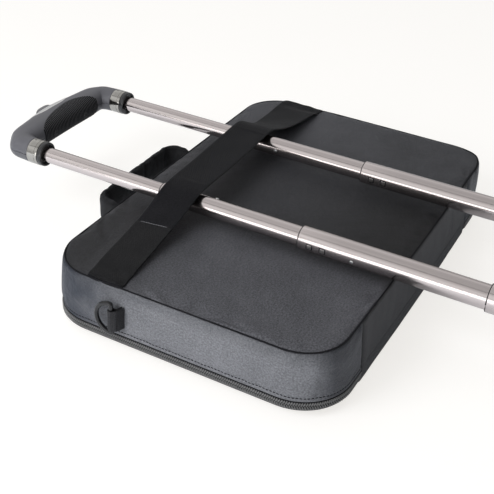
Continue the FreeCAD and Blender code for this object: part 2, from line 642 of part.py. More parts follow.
# ------------------------------------------------------------------ all pieces
top_shell, bottom_shell, grip_pad = grip_pieces()
nodes = {
    "middle_bushes": both(middle_bush),
    "lower_bushes": both(lower_bush),
    "outer_bushes": both(outer_bush),
    "grip_top_shell": top_shell,
    "grip_bottom_shell": bottom_shell,
    "grip_pad": grip_pad,
    "grip_screws": Part.makeCompound([grip_screw(x) for x in SCREW_X]),
    "chrome_rings": both(chrome_ring),
    "end_collars": both(end_collar),
    "release_button": release_button(),
    "release_bar": release_bar(),
    "push_rods": both(push_rod),
    "button_spring": button_spring(),
    "base_housing": base_housing(),
    "base_cover": base_cover(),
    "load_ledge": load_ledge(),
    "base_screws": base_screws(),
    "wheel_axle": axle_cylinder(-AXLE_X, AXLE_R, 2 * AXLE_X),
    "axle_clips": both(axle_clip),
    "base_feet": both(base_foot),
    "gusset_band": wall_ring(WALL_Z0).cut(bottom_zone(BOTTOM_GAP)),
    "bottom_panel": wall_ring(ZIP_Z + 0.06).common(bottom_zone()),
    "back_panel": plate(SEAM_OUTLINE, BACK_Z0, BACK_Z1),
    "back_foam": plate(inset(SEAM_OUTLINE, 5.5), 60.6, WALL_Z1),
    "zip_upper": zip_ring(ZIP_Z + 0.05, ZIP_Z + ZIP_TAPE_H).cut(bottom_zone(BOTTOM_GAP)),
    "zip_lower": lower_zip_ring().cut(bottom_zone(BOTTOM_GAP)),
    "lid_hinge_strip": lower_zip_ring().common(bottom_zone()),
    "front_panel": plate(FRONT_OUTLINE, 0.0, FRONT_T),
    "lid_rim": lid_rim(),
    "front_foam": plate(inset(FRONT_OUTLINE, 5), FRONT_T + 0.05, 9.5),
    "laptop_divider": plate(DIVIDER_OUTLINE, 15.0, 19.5),
    "base_stiffener": box(-130, 130, -134.0, -131.8, 18.0, 58.0),
    "laptop_strap": laptop_strap(),
    "trolley_strap": trolley_strap(),
    "ring_tabs": both(ring_tab),
    "handle_anchors": both(handle_anchor),
    "carry_handle": carry_handle(),
}
for side, name in SIDES:
    middle_pin, lower_pin = MIDDLE_PIN[side], LOWER_PIN[side]
    nodes.update({
        "outer_tube_" + name: stage_tube(side, OUTER_R, OUTER_BORE, OUTER_Y),
        "lower_tube_" + name: stage_tube(side, LOWER_R, LOWER_BORE, LOWER_Y, lower_pin, PEG_Y),
        "middle_tube_" + name: stage_tube(side, MIDDLE_R, MIDDLE_BORE, MIDDLE_Y, middle_pin),
        "upper_tube_" + name: stage_tube(side, UPPER_R, UPPER_BORE, UPPER_Y),
        "middle_lock_pin_" + name: lock_pin(side, middle_pin, UPPER_R, MIDDLE_R),
        "lower_lock_pin_" + name: lock_pin(side, lower_pin, MIDDLE_R, LOWER_R),
        "wheel_hub_" + name: wheel_hub(side),
        "wheel_tyre_" + name: wheel_tyre(side),
        "d_ring_" + name: d_ring(side),
        "zip_slider_" + name: zip_slider(side),
        "zip_pull_" + name: zip_pull(side),
    })

os.makedirs("parts", exist_ok=True)
for name, shape in nodes.items():
    if shape.ShapeType == "Compound" and len(shape.Solids) == 1:
        shape = shape.Solids[0]
    shape.exportStep("parts/" + name + ".step")
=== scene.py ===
import bpy, bmesh, math, random
import numpy as np
from mathutils import Vector, Matrix


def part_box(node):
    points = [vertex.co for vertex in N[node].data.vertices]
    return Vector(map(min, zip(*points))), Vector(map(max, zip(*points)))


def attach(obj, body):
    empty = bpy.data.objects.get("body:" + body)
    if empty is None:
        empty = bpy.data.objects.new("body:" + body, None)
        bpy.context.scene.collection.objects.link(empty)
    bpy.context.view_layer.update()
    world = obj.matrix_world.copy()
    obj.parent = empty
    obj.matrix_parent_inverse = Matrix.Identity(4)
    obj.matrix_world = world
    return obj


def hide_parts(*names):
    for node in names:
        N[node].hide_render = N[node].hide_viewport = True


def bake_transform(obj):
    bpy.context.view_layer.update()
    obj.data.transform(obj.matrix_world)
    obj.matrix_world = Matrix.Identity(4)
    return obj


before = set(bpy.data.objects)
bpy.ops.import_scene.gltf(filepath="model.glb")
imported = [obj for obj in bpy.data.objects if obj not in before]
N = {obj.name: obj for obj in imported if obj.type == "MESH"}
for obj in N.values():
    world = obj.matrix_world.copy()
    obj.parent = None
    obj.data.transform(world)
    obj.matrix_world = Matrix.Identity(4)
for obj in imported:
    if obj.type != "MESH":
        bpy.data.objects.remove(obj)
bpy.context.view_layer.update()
MM = 0.001
rng = np.random.default_rng(7)


def nbox(node):
    lo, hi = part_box(node)
    return np.array(lo) * 1000, np.array(hi) * 1000


# sizes read from the frame, in millimetres
_lo, _hi = nbox("upper_tube_right"); TX = (_lo[0] + _hi[0]) / 2; TZ = (_lo[2] + _hi[2]) / 2
_lo, _hi = nbox("back_panel"); SEAM_HX, SEAM_HY, Z_PANEL = _hi[0], _hi[1], _hi[2]
_lo, _hi = nbox("zip_upper"); ZIP_HX, ZIP_HY, Z_UP0, Z_UP1 = _hi[0] - 1.5, _hi[1] - 1.5, _lo[2], _hi[2]
_lo, _hi = nbox("zip_lower"); Z_LO0, Z_LO1 = _lo[2], _hi[2]
Z_SPLIT = (Z_UP0 + Z_LO1) / 2
_lo, _hi = nbox("trolley_strap"); STRAP_Y0, STRAP_Y1, STRAP_Z0, STRAP_Z1, STRAP_X = _lo[1], _hi[1], _lo[2], _hi[2], _hi[0]
_lo, _hi = nbox("bottom_panel"); SEAM_X = _hi[0]
_lo, _hi = nbox("d_ring_left"); RING_C = (_lo + _hi) / 2
_lo, _hi = nbox("ring_tabs"); TAB_LO, TAB_HI = _lo, _hi
_lo, _hi = nbox("carry_handle"); HAND_LO, HAND_HI = _lo, _hi
SEAM_R, ZIP_R = 42.0, 47.5
NEAR = 3.5     # the -X side sits a little further in
# light levels
WORLD = (0.46, 0.46, 0.62, 0.84, 0.62, 0.52)
SIDE_LO, SIDE_HI = 0.40, 1.15
FLOOR_E, FLOOR_K = 1.22, 0.61

# ------------------------------------------------------------------ mesh helpers


def add(name, verts, faces, mat, body=None, reps=(), uv=None, smooth=True, scale=MM):
    me = bpy.data.meshes.new(name)
    v = np.asarray(verts, float) * scale
    me.from_pydata(v.tolist(), [], [list(map(int, f)) for f in faces])
    me.validate(clean_customdata=False)
    if uv is not None:
        uv = np.asarray(uv, float)
        lay = me.uv_layers.new(name="UVMap")
        idx = np.zeros(len(me.loops), int)
        me.loops.foreach_get("vertex_index", idx)
        lay.data.foreach_set("uv", uv[idx].astype(np.float32).ravel())
    if smooth:
        me.polygons.foreach_set("use_smooth", [True] * len(me.polygons))
    me.update()
    ob = bpy.data.objects.new(name, me)
    bpy.context.scene.collection.objects.link(ob)
    if mat is not None:
        me.materials.append(mat)
    if body:
        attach(ob, body)
    if reps:
        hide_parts(*reps)
    return ob


def grid(nr, nc, closed_c=False, closed_r=False, off=0, flip=False):
    """Quads of a grid of nr rows and nc columns, vertex index off + r * nc + c."""
    F = []
    for r in range(nr if closed_r else nr - 1):
        r2 = (r + 1) % nr
        for c in range(nc if closed_c else nc - 1):
            c2 = (c + 1) % nc
            q = [off + r * nc + c, off + r * nc + c2, off + r2 * nc + c2, off + r2 * nc + c]
            F.append(q[::-1] if flip else q)
    return F


def merge(parts):
    """Joins [(verts, faces, uv)] into one."""
    V, F, U, o = [], [], [], 0
    for v, f, u in parts:
        v = np.asarray(v, float)
        V.append(v)
        U.append(np.asarray(u, float) if u is not None else np.zeros((len(v), 2)))
        F += [[i + o for i in q] for q in f]
        o += len(v)
    return np.vstack(V), F, np.vstack(U)


def lathe(x, z, prof, n=96, axis="y", a0=0.0):
    """Closed ring profile [(radius, along)] turned about a line along Y (or X)."""
    prof = list(prof)
    m = len(prof)
    V = np.zeros((m * n, 3)); U = np.zeros((m * n, 2))
    acc = 0.0
    for i, (r, t) in enumerate(prof):
        if i:
            acc += math.hypot(r - prof[i - 1][0], t - prof[i - 1][1])
        for k in range(n):
            a = a0 + 2 * math.pi * k / n
            if axis == "y":
                V[i * n + k] = (x + r * math.cos(a), t, z + r * math.sin(a))
            else:
                V[i * n + k] = (t, x + r * math.cos(a), z + r * math.sin(a))
            U[i * n + k] = (k / n * 2 * math.pi * 10, acc)
    return V, grid(m, n, closed_c=True, closed_r=True, flip=(axis == "y")), U


def resample(P, n=None, step=None, closed=False):
    P = np.asarray(P, float)
    Q = np.vstack([P, P[:1]]) if closed else P
    d = np.r_[0, np.cumsum(np.linalg.norm(np.diff(Q, axis=0), axis=1))]
    if n is None:
        n = max(2, int(round(d[-1] / step)) + (0 if closed else 1))
    t = np.linspace(0, d[-1], n + 1)[:-1] if closed else np.linspace(0, d[-1], n)
    return np.stack([np.interp(t, d, Q[:, k]) for k in range(P.shape[1])], 1)


def frames(P, up, closed=False):
    """Tangent, side and normal at each point; up may be one vector or one for each point."""
    P = np.asarray(P, float)
    if closed:
        T = np.roll(P, -1, 0) - np.roll(P, 1, 0)
    else:
        T = np.gradient(P, axis=0)
    T /= np.linalg.norm(T, axis=1)[:, None]
    up = np.broadcast_to(np.asarray(up, float), P.shape)
    S = np.cross(T, up); S /= np.linalg.norm(S, axis=1)[:, None]
    U = np.cross(S, T)
    return T, S, U


def sweep(P, sec, up, closed=False, caps=True, scale=None):
    """Section points (a, b) carried along P: a along side, b along up. Closed section."""
    P = np.asarray(P, float); sec = np.asarray(sec, float)
    T, S, U = frames(P, up, closed)
    n, m = len(P), len(sec)
    L = np.r_[0, np.cumsum(np.linalg.norm(np.diff(P, axis=0), axis=1))]
    per = np.r_[0, np.cumsum(np.linalg.norm(np.diff(sec, axis=0), axis=1))]
    V = np.zeros((n * m, 3)); UV = np.zeros((n * m, 2))
    for i in range(n):
        k = 1.0 if scale is None else scale[i]
        V[i * m:(i + 1) * m] = P[i] + np.outer(sec[:, 0] * k, S[i]) + np.outer(sec[:, 1] * k, U[i])
        UV[i * m:(i + 1) * m, 0] = L[i]; UV[i * m:(i + 1) * m, 1] = per
    F = grid(n, m, closed_c=True, closed_r=closed)
    if not closed and caps:
        F.append(list(range(m)))
        F.append(list(range((n - 1) * m, n * m))[::-1])
    return V, F, UV


def rsec(w, h, r, k=4):
    """Rounded rectangle section, w by h."""
    pts = []
    r = min(r, w / 2 - 1e-3, h / 2 - 1e-3)
    for cx, cy, a0 in ((w / 2 - r, h / 2 - r, 0), (-w / 2 + r, h / 2 - r, 90), (-w / 2 + r, -h / 2 + r, 180), (w / 2 - r, -h / 2 + r, 270)):
        for i in range(k + 1):
            a = math.radians(a0 + 90 * i / k)
            pts.append((cx + r * math.cos(a), cy + r * math.sin(a)))
    return np.array(pts)


def fix_normals(ob):
    bm = bmesh.new(); bm.from_mesh(ob.data)
    bmesh.ops.recalc_face_normals(bm, faces=bm.faces)
    bm.to_mesh(ob.data); bm.free(); ob.data.update()


def subsurf(ob, lv=1):
    m = ob.modifiers.new("sub", "SUBSURF"); m.levels = lv; m.render_levels = lv
    return m


def solidify(ob, t, offset=-1.0):
    m = ob.modifiers.new("solid", "SOLIDIFY"); m.thickness = t * MM; m.offset = offset; m.use_even_offset = True
    return m


def smoothstep(a, b, x):
    t = np.clip((x - a) / (b - a), 0, 1)
    return t * t * (3 - 2 * t)


def vnoise(P, seed=0, octaves=3):
    """Smooth value noise at points P (n, d), repeatable."""
    P = np.asarray(P, float)
    out = np.zeros(len(P)); amp = 1.0; tot = 0.0
    for o in range(octaves):
        Q = P * (2 ** o) + 17.3 * o + seed * 5.7
        i = np.floor(Q).astype(np.int64); f = Q - i; f = f * f * (3 - 2 * f)
        acc = np.zeros(len(P))
        dim = P.shape[1]
        for c in range(2 ** dim):
            h = np.zeros(len(P), np.int64); wgt = np.ones(len(P))
            for k in range(dim):
                b = (c >> k) & 1
                h = (h * 73856093) ^ ((i[:, k] + b) * (19349663 + 83492791 * k) + seed * 12289 + o * 911)
                wgt = wgt * (f[:, k] if b else 1 - f[:, k])
            h = (h ^ (h >> 13)) * 1274126177
            h = (h ^ (h >> 16)) & 0xFFFF
            acc += wgt * (h / 32767.5 - 1)
        out += amp * acc; tot += amp; amp *= 0.5
    return out / tot


def run_cloth(ob, pin=None, pressure=4.0, frames_n=20, shrink=0.0, cap=8.0, tension=15.0, bend=0.5, quality=6):
    """Runs Blender's cloth on ob, gravity off, and bakes the result into the mesh (cap in mm)."""
    rest = np.zeros(len(ob.data.vertices) * 3); ob.data.vertices.foreach_get("co", rest); rest = rest.reshape(-1, 3)
    m = ob.modifiers.new("Cloth", "CLOTH"); s = m.settings
    s.quality = quality; s.mass = 0.15; s.air_damping = 1.5
    s.tension_stiffness = tension; s.compression_stiffness = tension; s.shear_stiffness = tension * 0.4
    s.bending_stiffness = bend
    s.use_pressure = pressure != 0; s.uniform_pressure_force = pressure
    s.shrink_min = shrink
    s.effector_weights.gravity = 0.0
    if pin is not None:
        vg = ob.vertex_groups.new(name="pin")
        for wv in np.unique(np.round(pin, 2)):
            if wv > 0:
                vg.add([int(i) for i in np.nonzero(np.round(pin, 2) == wv)[0]], float(wv), "REPLACE")
        s.vertex_group_mass = "pin"; s.pin_stiffness = 1.0
    m.collision_settings.use_collision = False
    m.point_cache.frame_start = 1; m.point_cache.frame_end = frames_n
    sc = bpy.context.scene
    for f in range(1, frames_n + 1):
        sc.frame_set(f)
    ev = ob.evaluated_get(bpy.context.evaluated_depsgraph_get())
    co = np.zeros(len(rest) * 3); ev.data.vertices.foreach_get("co", co); co = co.reshape(-1, 3)
    ob.modifiers.remove(m)
    if pin is not None:
        ob.vertex_groups.clear()
    d = co - rest; L = np.linalg.norm(d, axis=1)
    k = np.minimum(1.0, cap * MM / np.maximum(L, 1e-9))
    out = rest + d * k[:, None]
    ob.data.vertices.foreach_set("co", out.ravel()); ob.data.update()
    sc.frame_set(1)
    return L.max() * 1000


def get_co(ob):
    a = np.zeros(len(ob.data.vertices) * 3); ob.data.vertices.foreach_get("co", a)
    return a.reshape(-1, 3) * 1000


# ------------------------------------------------------------------ materials


class NB:
    """Small builder for node materials."""

    def __init__(self, name):
        self.m = bpy.data.materials.new(name); self.m.use_nodes = True
        self.t = self.m.node_tree; self.t.nodes.clear()
        self.out = self.t.nodes.new("ShaderNodeOutputMaterial")
        self.b = self.t.nodes.new("ShaderNodeBsdfPrincipled")
        self.t.links.new(self.b.outputs[0], self.out.inputs[0])

    def n(self, typ, ins=None, **kw):
        nd = self.t.nodes.new(typ)
        for k, v in kw.items():
            setattr(nd, k, v)
        for k, v in (ins or {}).items():
            self.set(nd.inputs[k], v)
        return nd

    def set(self, sock, v):
        if isinstance(v, bpy.types.NodeSocket):
            self.t.links.new(v, sock)
        elif isinstance(v, (tuple, list)) and len(v) == 3 and sock.type == "RGBA":
            sock.default_value = (*v, 1)
        else:
            sock.default_value = v

    def math(self, op, a, b=None, c=None):
        nd = self.n("ShaderNodeMath", operation=op)
        self.set(nd.inputs[0], a)
        if b is not None:
            self.set(nd.inputs[1], b)
        if c is not None:
            self.set(nd.inputs[2], c)
        return nd.outputs[0]

    def uv(self):
        return self.n("ShaderNodeUVMap").outputs[0]

    def obj(self, scale=1000.0):
        tc = self.n("ShaderNodeTexCoord").outputs["Object"]
        mp = self.n("ShaderNodeMapping", {"Vector": tc, "Scale": (scale, scale, scale)})
        return mp.outputs[0]

    def sep(self, v):
        return self.n("ShaderNodeSeparateXYZ", {0: v}).outputs

    def noise(self, vec, scale, detail=3.0, rough=0.5, stretch=None):
        if stretch is not None:
            vec = self.n("ShaderNodeMapping", {"Vector": vec, "Scale": stretch}).outputs[0]
        return self.n("ShaderNodeTexNoise", {"Vector": vec, "Scale": scale, "Detail": detail, "Roughness": rough}).outputs[0]

    def ramp(self, fac, lo, hi, a=0.0, b=1.0):
        nd = self.n("ShaderNodeMapRange", {0: fac, 1: lo, 2: hi, 3: a, 4: b})
        return nd.outputs[0]

    def mix(self, fac, a, b):
        nd = self.n("ShaderNodeMix", data_type="RGBA")
        self.set(nd.inputs[0], fac); self.set(nd.inputs[6], a); self.set(nd.inputs[7], b)
        return nd.outputs[2]

    def bump(self, h, dist, strength=1.0, normal=None):
        ins = {"Height": h, "Distance": dist * MM, "Strength": strength}
        nd = self.n("ShaderNodeBump", ins)
        if normal is not None:
            self.t.links.new(normal, nd.inputs["Normal"])
        return nd.outputs[0]

    def fin(self, **kw):
        for k, v in kw.items():
            self.set(self.b.inputs[k.replace("_", " ")], v)
        return self.m


def weave(nb, uvs, pitch):
    """Plain weave height from UV in mm: threads over and under."""
    u = nb.math("MULTIPLY", uvs[0], math.pi / pitch); v = nb.math("MULTIPLY", uvs[1], math.pi / pitch)
    su = nb.math("ABSOLUTE", nb.math("SINE", u)); sv = nb.math("ABSOLUTE", nb.math("SINE", v))
    par = nb.math("MULTIPLY", nb.math("SINE", nb.math("ADD", u, math.pi / 2)), nb.math("SINE", nb.math("ADD", v, math.pi / 2)))
    sel = nb.math("GREATER_THAN", par, 0.0)
    a = nb.math("MULTIPLY", su, sel); b = nb.math("MULTIPLY", sv, nb.math("SUBTRACT", 1.0, sel))
    return nb.math("ADD", a, b)


def fabric(name, col, col2, pitch, rough=0.62, sheen=0.25, bump=0.12, streak=0.35, wrinkle=0.0, spec=0.35, sheen_rough=0.35, mottle=0.62, painted_shade_side=False, painted_shade_panel=False):
    nb = NB(name)
    uv = nb.uv(); s = nb.sep(uv)
    w = weave(nb, s, pitch)
    su = nb.noise(uv, 1.0, 2.0, 0.5, stretch=(0.35, 3.0, 1)); sv = nb.noise(uv, 1.0, 2.0, 0.5, stretch=(3.0, 0.35, 1))
    st = nb.math("MULTIPLY", nb.math("ADD", su, sv), 0.5)
    big = nb.noise(uv, 0.02, 3.0, 0.5)
    f1 = nb.ramp(st, 0.3, 0.7, 0.0, 1.0)
    fac = nb.math("ADD", nb.math("MULTIPLY", f1, streak), nb.math("MULTIPLY", w, 0.55 - streak * 0.3))
    fac = nb.math("ADD", fac, nb.ramp(big, 0.3, 0.7, -0.12, 0.12))
    fac = nb.math("ADD", fac, nb.ramp(nb.noise(uv, mottle, 2.0, 0.6), 0.32, 0.68, -0.42, 0.42))
    c = nb.mix(nb.math("MINIMUM", nb.math("MAXIMUM", fac, 0.0), 1.0), col, col2)
    sp_ = spec
    # painted shade in the side fabric's colour: darkened towards +Y (the near-left corner by the tab), on every face
    # away from the -X side, and towards the top under the back seam; the specular level is lowered in the same places
    if painted_shade_side:
        o = nb.sep(nb.obj())
        yy = nb.math("ADD", o[1], nb.ramp(nb.noise(uv, 0.02, 2.0, 0.5), 0.3, 0.7, -18.0, 18.0))
        fl_ = nb.ramp(yy, 58.0, 112.0, 0.0, 0.88)
        sp_ = nb.math("MULTIPLY", nb.math("SUBTRACT", 1.0, nb.math("MULTIPLY", fl_, 0.85)), spec)
        sp_ = nb.math("MULTIPLY", sp_, nb.ramp(o[0], -208.0, -190.0, 1.0, 0.4))
        c = nb.mix(fl_, c, (0.014, 0.019, 0.031))
        c = nb.mix(nb.ramp(o[0], -205.0, -188.0, 0.0, 0.70), c, (0.014, 0.016, 0.022))
        c = nb.mix(nb.ramp(o[2], 52.0, 64.0, 0.0, 0.4), c, (0.014, 0.016, 0.022))
    # painted shade in the back panel's colour: darkened by region, on the near field towards +Y, strongly between the
    # tubes (most towards -Y) and lightly on the far field, as if shaded by the tubes and the strap
    if painted_shade_panel:
        o = nb.sep(nb.obj())
        near = nb.ramp(o[1], 25.0, 112.0, 1.0, 0.20)
        mid = nb.ramp(o[1], -112.0, 10.0, 0.10, 0.44)
        far = nb.ramp(o[1], -60.0, 50.0, 0.56, 0.88)
        k = nb.math("ADD", nb.math("MULTIPLY", near, nb.ramp(o[0], -92.0, -70.0, 1.0, 0.0)), nb.math("MULTIPLY", nb.math("MULTIPLY", mid, nb.ramp(o[0], -92.0, -70.0, 0.0, 1.0)), nb.ramp(o[0], 55.0, 90.0, 1.0, 0.0)))
        k = nb.math("ADD", k, nb.math("MULTIPLY", far, nb.ramp(o[0], 55.0, 90.0, 0.0, 1.0)))
        c = nb.mix(k, (0.0, 0.0, 0.0), c)
    h = nb.math("ADD", w, nb.math("MULTIPLY", st, 1.2))
    nrm = nb.bump(h, bump, 1.0)
    if wrinkle:
        wr = nb.noise(uv, 0.045, 4.0, 0.6)
        nrm = nb.bump(wr, wrinkle, 1.0, nrm)
    r = nb.ramp(st, 0.3, 0.7, rough + 0.06, rough - 0.06)
    return nb.fin(Base_Color=c, Roughness=r, Normal=nrm, Sheen_Weight=sheen, Sheen_Roughness=sheen_rough, Sheen_Tint=(0.8, 0.85, 1.0), Specular_IOR_Level=sp_)


def twill(name, col, col2, pitch=1.5, bump=0.22, rough=0.78, sheen=0.06):
    """Webbing: fine even basket weave, slightly fuzzy."""
    nb = NB(name)
    uv = nb.uv(); s = nb.sep(uv)
    uvs = [s[0], nb.math("MULTIPLY", s[1], 1.25)]
    w = weave(nb, uvs, pitch)
    fz = nb.noise(uv, 1.6, 3.0, 0.6); big = nb.noise(uv, 0.05, 2.0, 0.5)
    f = nb.math("ADD", nb.math("MULTIPLY", w, 0.6), nb.ramp(fz, 0.3, 0.7, -0.25, 0.3))
    f = nb.math("ADD", f, nb.ramp(nb.noise(uv, 0.55, 2.0, 0.6), 0.32, 0.68, -0.3, 0.3))
    f = nb.math("ADD", f, nb.ramp(big, 0.3, 0.7, -0.1, 0.1))
    c = nb.mix(nb.math("MINIMUM", nb.math("MAXIMUM", f, 0.0), 1.0), col, col2)
    hh = nb.math("ADD", w, nb.math("MULTIPLY", fz, 0.7))
    return nb.fin(Base_Color=c, Roughness=rough, Normal=nb.bump(hh, bump), Sheen_Weight=sheen, Sheen_Roughness=0.4, Specular_IOR_Level=0.13)


def plastic(name, col, rough=0.45, grain=0.04, gscale=1.2, coat=0.0, var=0.12, spec=0.5):
    nb = NB(name)
    o = nb.obj()
    g = nb.noise(o, gscale, 3.0, 0.6); big = nb.noise(o, 0.03, 3.0, 0.5)
    c2 = tuple(x * (1 + var) for x in col); c1 = tuple(x * (1 - var) for x in col)
    c = nb.mix(nb.ramp(big, 0.3, 0.7), c1, c2)
    r = nb.ramp(big, 0.3, 0.7, rough - 0.05, rough + 0.07)
    return nb.fin(Base_Color=c, Roughness=r, Normal=nb.bump(g, grain), Coat_Weight=coat, Coat_Roughness=0.15, Specular_IOR_Level=spec)


def metal(name, col, rough=0.25, brushed=None, var=0.08, aniso=0.0, bump=0.01):
    nb = NB(name)
    o = nb.obj()
    st = brushed if brushed is not None else (1, 1, 1)
    g = nb.noise(o, 1.0, 4.0, 0.6, stretch=st); big = nb.noise(o, 0.04, 3.0, 0.5)
    c = nb.mix(nb.ramp(g, 0.25, 0.75), tuple(x * (1 - var) for x in col), tuple(min(1, x * (1 + var)) for x in col))
    r = nb.math("ADD", nb.ramp(g, 0.25, 0.75, rough - 0.04, rough + 0.05), nb.ramp(big, 0.3, 0.7, -0.03, 0.03))
    return nb.fin(Base_Color=c, Metallic=1.0, Roughness=r, Anisotropic=aniso, Normal=nb.bump(g, bump))


def tube_mat(name, col):
    nb = NB(name)
    o = nb.obj()
    big = nb.noise(o, 0.02, 2.0, 0.5); fine = nb.noise(o, 1.0, 2.0, 0.5, stretch=(0.9, 0.012, 0.9))
    c = nb.mix(nb.ramp(fine, 0.3, 0.7), tuple(x * 0.97 for x in col), tuple(x * 1.03 for x in col))
    r = nb.math("ADD", nb.ramp(fine, 0.3, 0.7, 0.175, 0.195), nb.ramp(big, 0.3, 0.7, -0.015, 0.015))
    return nb.fin(Base_Color=c, Metallic=1.0, Roughness=r)


M_TUBE = tube_mat("tube_metal", (0.76, 0.69, 0.675))
M_CHROME = metal("chrome", (0.50, 0.485, 0.455), 0.13, bump=0.001)
M_PIN = metal("pin_steel", (0.97, 0.97, 0.96), 0.32, bump=0.001)
M_STEEL = metal("steel", (0.74, 0.74, 0.73), 0.16, bump=0.002)
M_LEDGE = metal("ledge_metal", (0.42, 0.40, 0.39), 0.33, brushed=(0.03, 3, 3), bump=0.006)
M_GRIP = plastic("grip_plastic", (0.105, 0.105, 0.118), 0.33, grain=0.02, gscale=1.5)
def pad_mat(name, pitch=2.35):
    nb = NB(name)
    o = nb.obj(); x = nb.sep(o)[0]
    g = nb.noise(o, 2.0, 3.0, 0.6)
    # painted highlight and shade: colour and specular level follow the rib pitch, light and shiny on the rib tops, near
    # black in the grooves
    k = nb.math("ADD", nb.math("MULTIPLY", nb.math("COSINE", nb.math("MULTIPLY", x, 2 * math.pi / pitch)), 0.5), 0.5)
    k = nb.math("ADD", nb.math("POWER", k, 1.6), nb.ramp(g, 0.3, 0.7, -0.06, 0.06))
    c = nb.mix(nb.math("MINIMUM", nb.math("MAXIMUM", k, 0.0), 1.0), (0.002, 0.002, 0.0025), (0.062, 0.062, 0.066))
    return nb.fin(Base_Color=c, Roughness=0.5, Normal=nb.bump(g, 0.03), Specular_IOR_Level=nb.math("MULTIPLY", k, 0.45))


M_PAD = pad_mat("pad_rubber")
M_BLACK = plastic("black_plastic", (0.018, 0.018, 0.019), 0.42, grain=0.03)
M_HUB = plastic("hub_plastic", (0.10, 0.10, 0.11), 0.4, grain=0.03)
M_TYRE = plastic("tyre", (0.02, 0.02, 0.021), 0.7, grain=0.1, gscale=1.0)
M_BUTTON = metal("button_metal", (0.26, 0.26, 0.27), 0.3)
M_DRING = plastic("ring_black", (0.005, 0.005, 0.006), 0.14, grain=0.01, coat=0.4, spec=0.4)
# back panel fabric with painted shade in its colour, darker by region between and beside the tubes
M_PANEL = fabric("panel_fabric", (0.030, 0.0312, 0.0365), (0.122, 0.123, 0.138), 0.62, rough=0.46, sheen=0.03, bump=0.12, wrinkle=2.2, spec=0.36, painted_shade_panel=True)
# side fabric with painted shade in its colour: darker towards +Y, away from the -X face and under the back seam
M_SIDE = fabric("side_fabric", (0.084, 0.087, 0.097), (0.235, 0.240, 0.262), 0.75, rough=0.34, sheen=0.04, bump=0.12, wrinkle=3.2, spec=0.7, painted_shade_side=True)
M_BOTTOM = fabric("bottom_fabric", (0.024, 0.024, 0.026), (0.042, 0.042, 0.045), 0.6, rough=0.5, sheen=0.04, bump=0.06, streak=0.2, wrinkle=0.15, spec=0.3)
M_LINING = fabric("lining", (0.075, 0.078, 0.085), (0.11, 0.115, 0.125), 0.8, rough=0.8, sheen=0.1, bump=0.1)
M_WEB = twill("webbing", (0.002, 0.002, 0.003), (0.015, 0.015, 0.018))
M_WEB2 = twill("webbing_end", (0.004, 0.004, 0.005), (0.020, 0.020, 0.021))
M_TAB = twill("webbing_tab", (0.018, 0.018, 0.020), (0.050, 0.050, 0.054), rough=0.6)
M_HANDLE = fabric("handle_fabric", (0.010, 0.010, 0.011), (0.026, 0.026, 0.028), 0.9, rough=0.7, sheen=0.06, bump=0.2, spec=0.25)
M_TAPE = fabric("zip_tape", (0.010, 0.010, 0.012), (0.022, 0.022, 0.024), 0.7, rough=0.7, sheen=0.03, bump=0.12, spec=0.25)
M_COIL = plastic("zip_coil", (0.15, 0.15, 0.15), 0.36, grain=0.02)
M_THREAD = plastic("thread_dark", (0.008, 0.008, 0.010), 0.7, spec=0.2)
M_THREAD_L = plastic("thread_light", (0.22, 0.22, 0.24), 0.7)
M_BOARD = plastic("board", (0.04, 0.04, 0.04), 0.7)
M_PEG = metal("peg_metal", (0.66, 0.63, 0.61), 0.3, bump=0.003)
M_TRIM = metal("trim", (0.92, 0.91, 0.90), 0.3, bump=0.003)
M_COLLAR = plastic("collar_plastic", (0.020, 0.020, 0.021), 0.28, grain=0.02, coat=0.3)
M_SCREW = metal("screw_dark", (0.05, 0.05, 0.05), 0.35, bump=0.004)
RING_X_, RING_Y_, RING_Z_, RING_ROD_ = abs(RING_C[0]), float(nbox("d_ring_left")[0][1] + 2.2), float(RING_C[2]), 2.2

CAD_MATS = {
    "outer_tube": M_TUBE, "lower_tube": M_TUBE, "middle_tube": M_TUBE, "upper_tube": M_TUBE,
    "outer_bushes": M_BLACK, "lower_bushes": M_BLACK, "middle_bushes": M_BLACK, "end_collars": M_BLACK,
    "base_housing": M_BLACK, "base_cover": M_BLACK, "base_screws": M_STEEL, "wheel_axle": M_STEEL, "axle_clips": M_STEEL,
    "load_ledge": M_LEDGE, "base_feet": M_TYRE, "wheel_hub": M_HUB, "wheel_tyre": M_TYRE,
    "grip_top_shell": M_GRIP, "grip_bottom_shell": M_GRIP, "grip_pad": M_PAD, "grip_screws": M_STEEL, "chrome_rings": M_CHROME,
    "release_button": M_BUTTON, "release_bar": M_BLACK, "push_rods": M_STEEL, "button_spring": M_STEEL,
    "middle_lock_pin": M_STEEL, "lower_lock_pin": M_STEEL,
    "back_panel": M_PANEL, "back_foam": M_LINING, "gusset_band": M_SIDE, "bottom_panel": M_BOTTOM, "zip_upper": M_TAPE, "trolley_strap": M_WEB,
    "ring_tabs": M_TAB, "handle_anchors": M_WEB, "laptop_divider": M_LINING, "laptop_strap": M_WEB, "base_stiffener": M_BOARD,
    "front_panel": M_PANEL, "front_foam": M_LINING, "lid_rim": M_SIDE, "zip_lower": M_TAPE, "lid_hinge_strip": M_BOTTOM,
    "carry_handle": M_HANDLE, "d_ring": M_DRING, "zip_slider": M_DRING, "zip_pull": M_DRING,
}
for nm, ob in N.items():
    for k, m in CAD_MATS.items():
        if nm.startswith(k):
            ob.data.materials.clear(); ob.data.materials.append(m)

# ------------------------------------------------------------------ case outlines


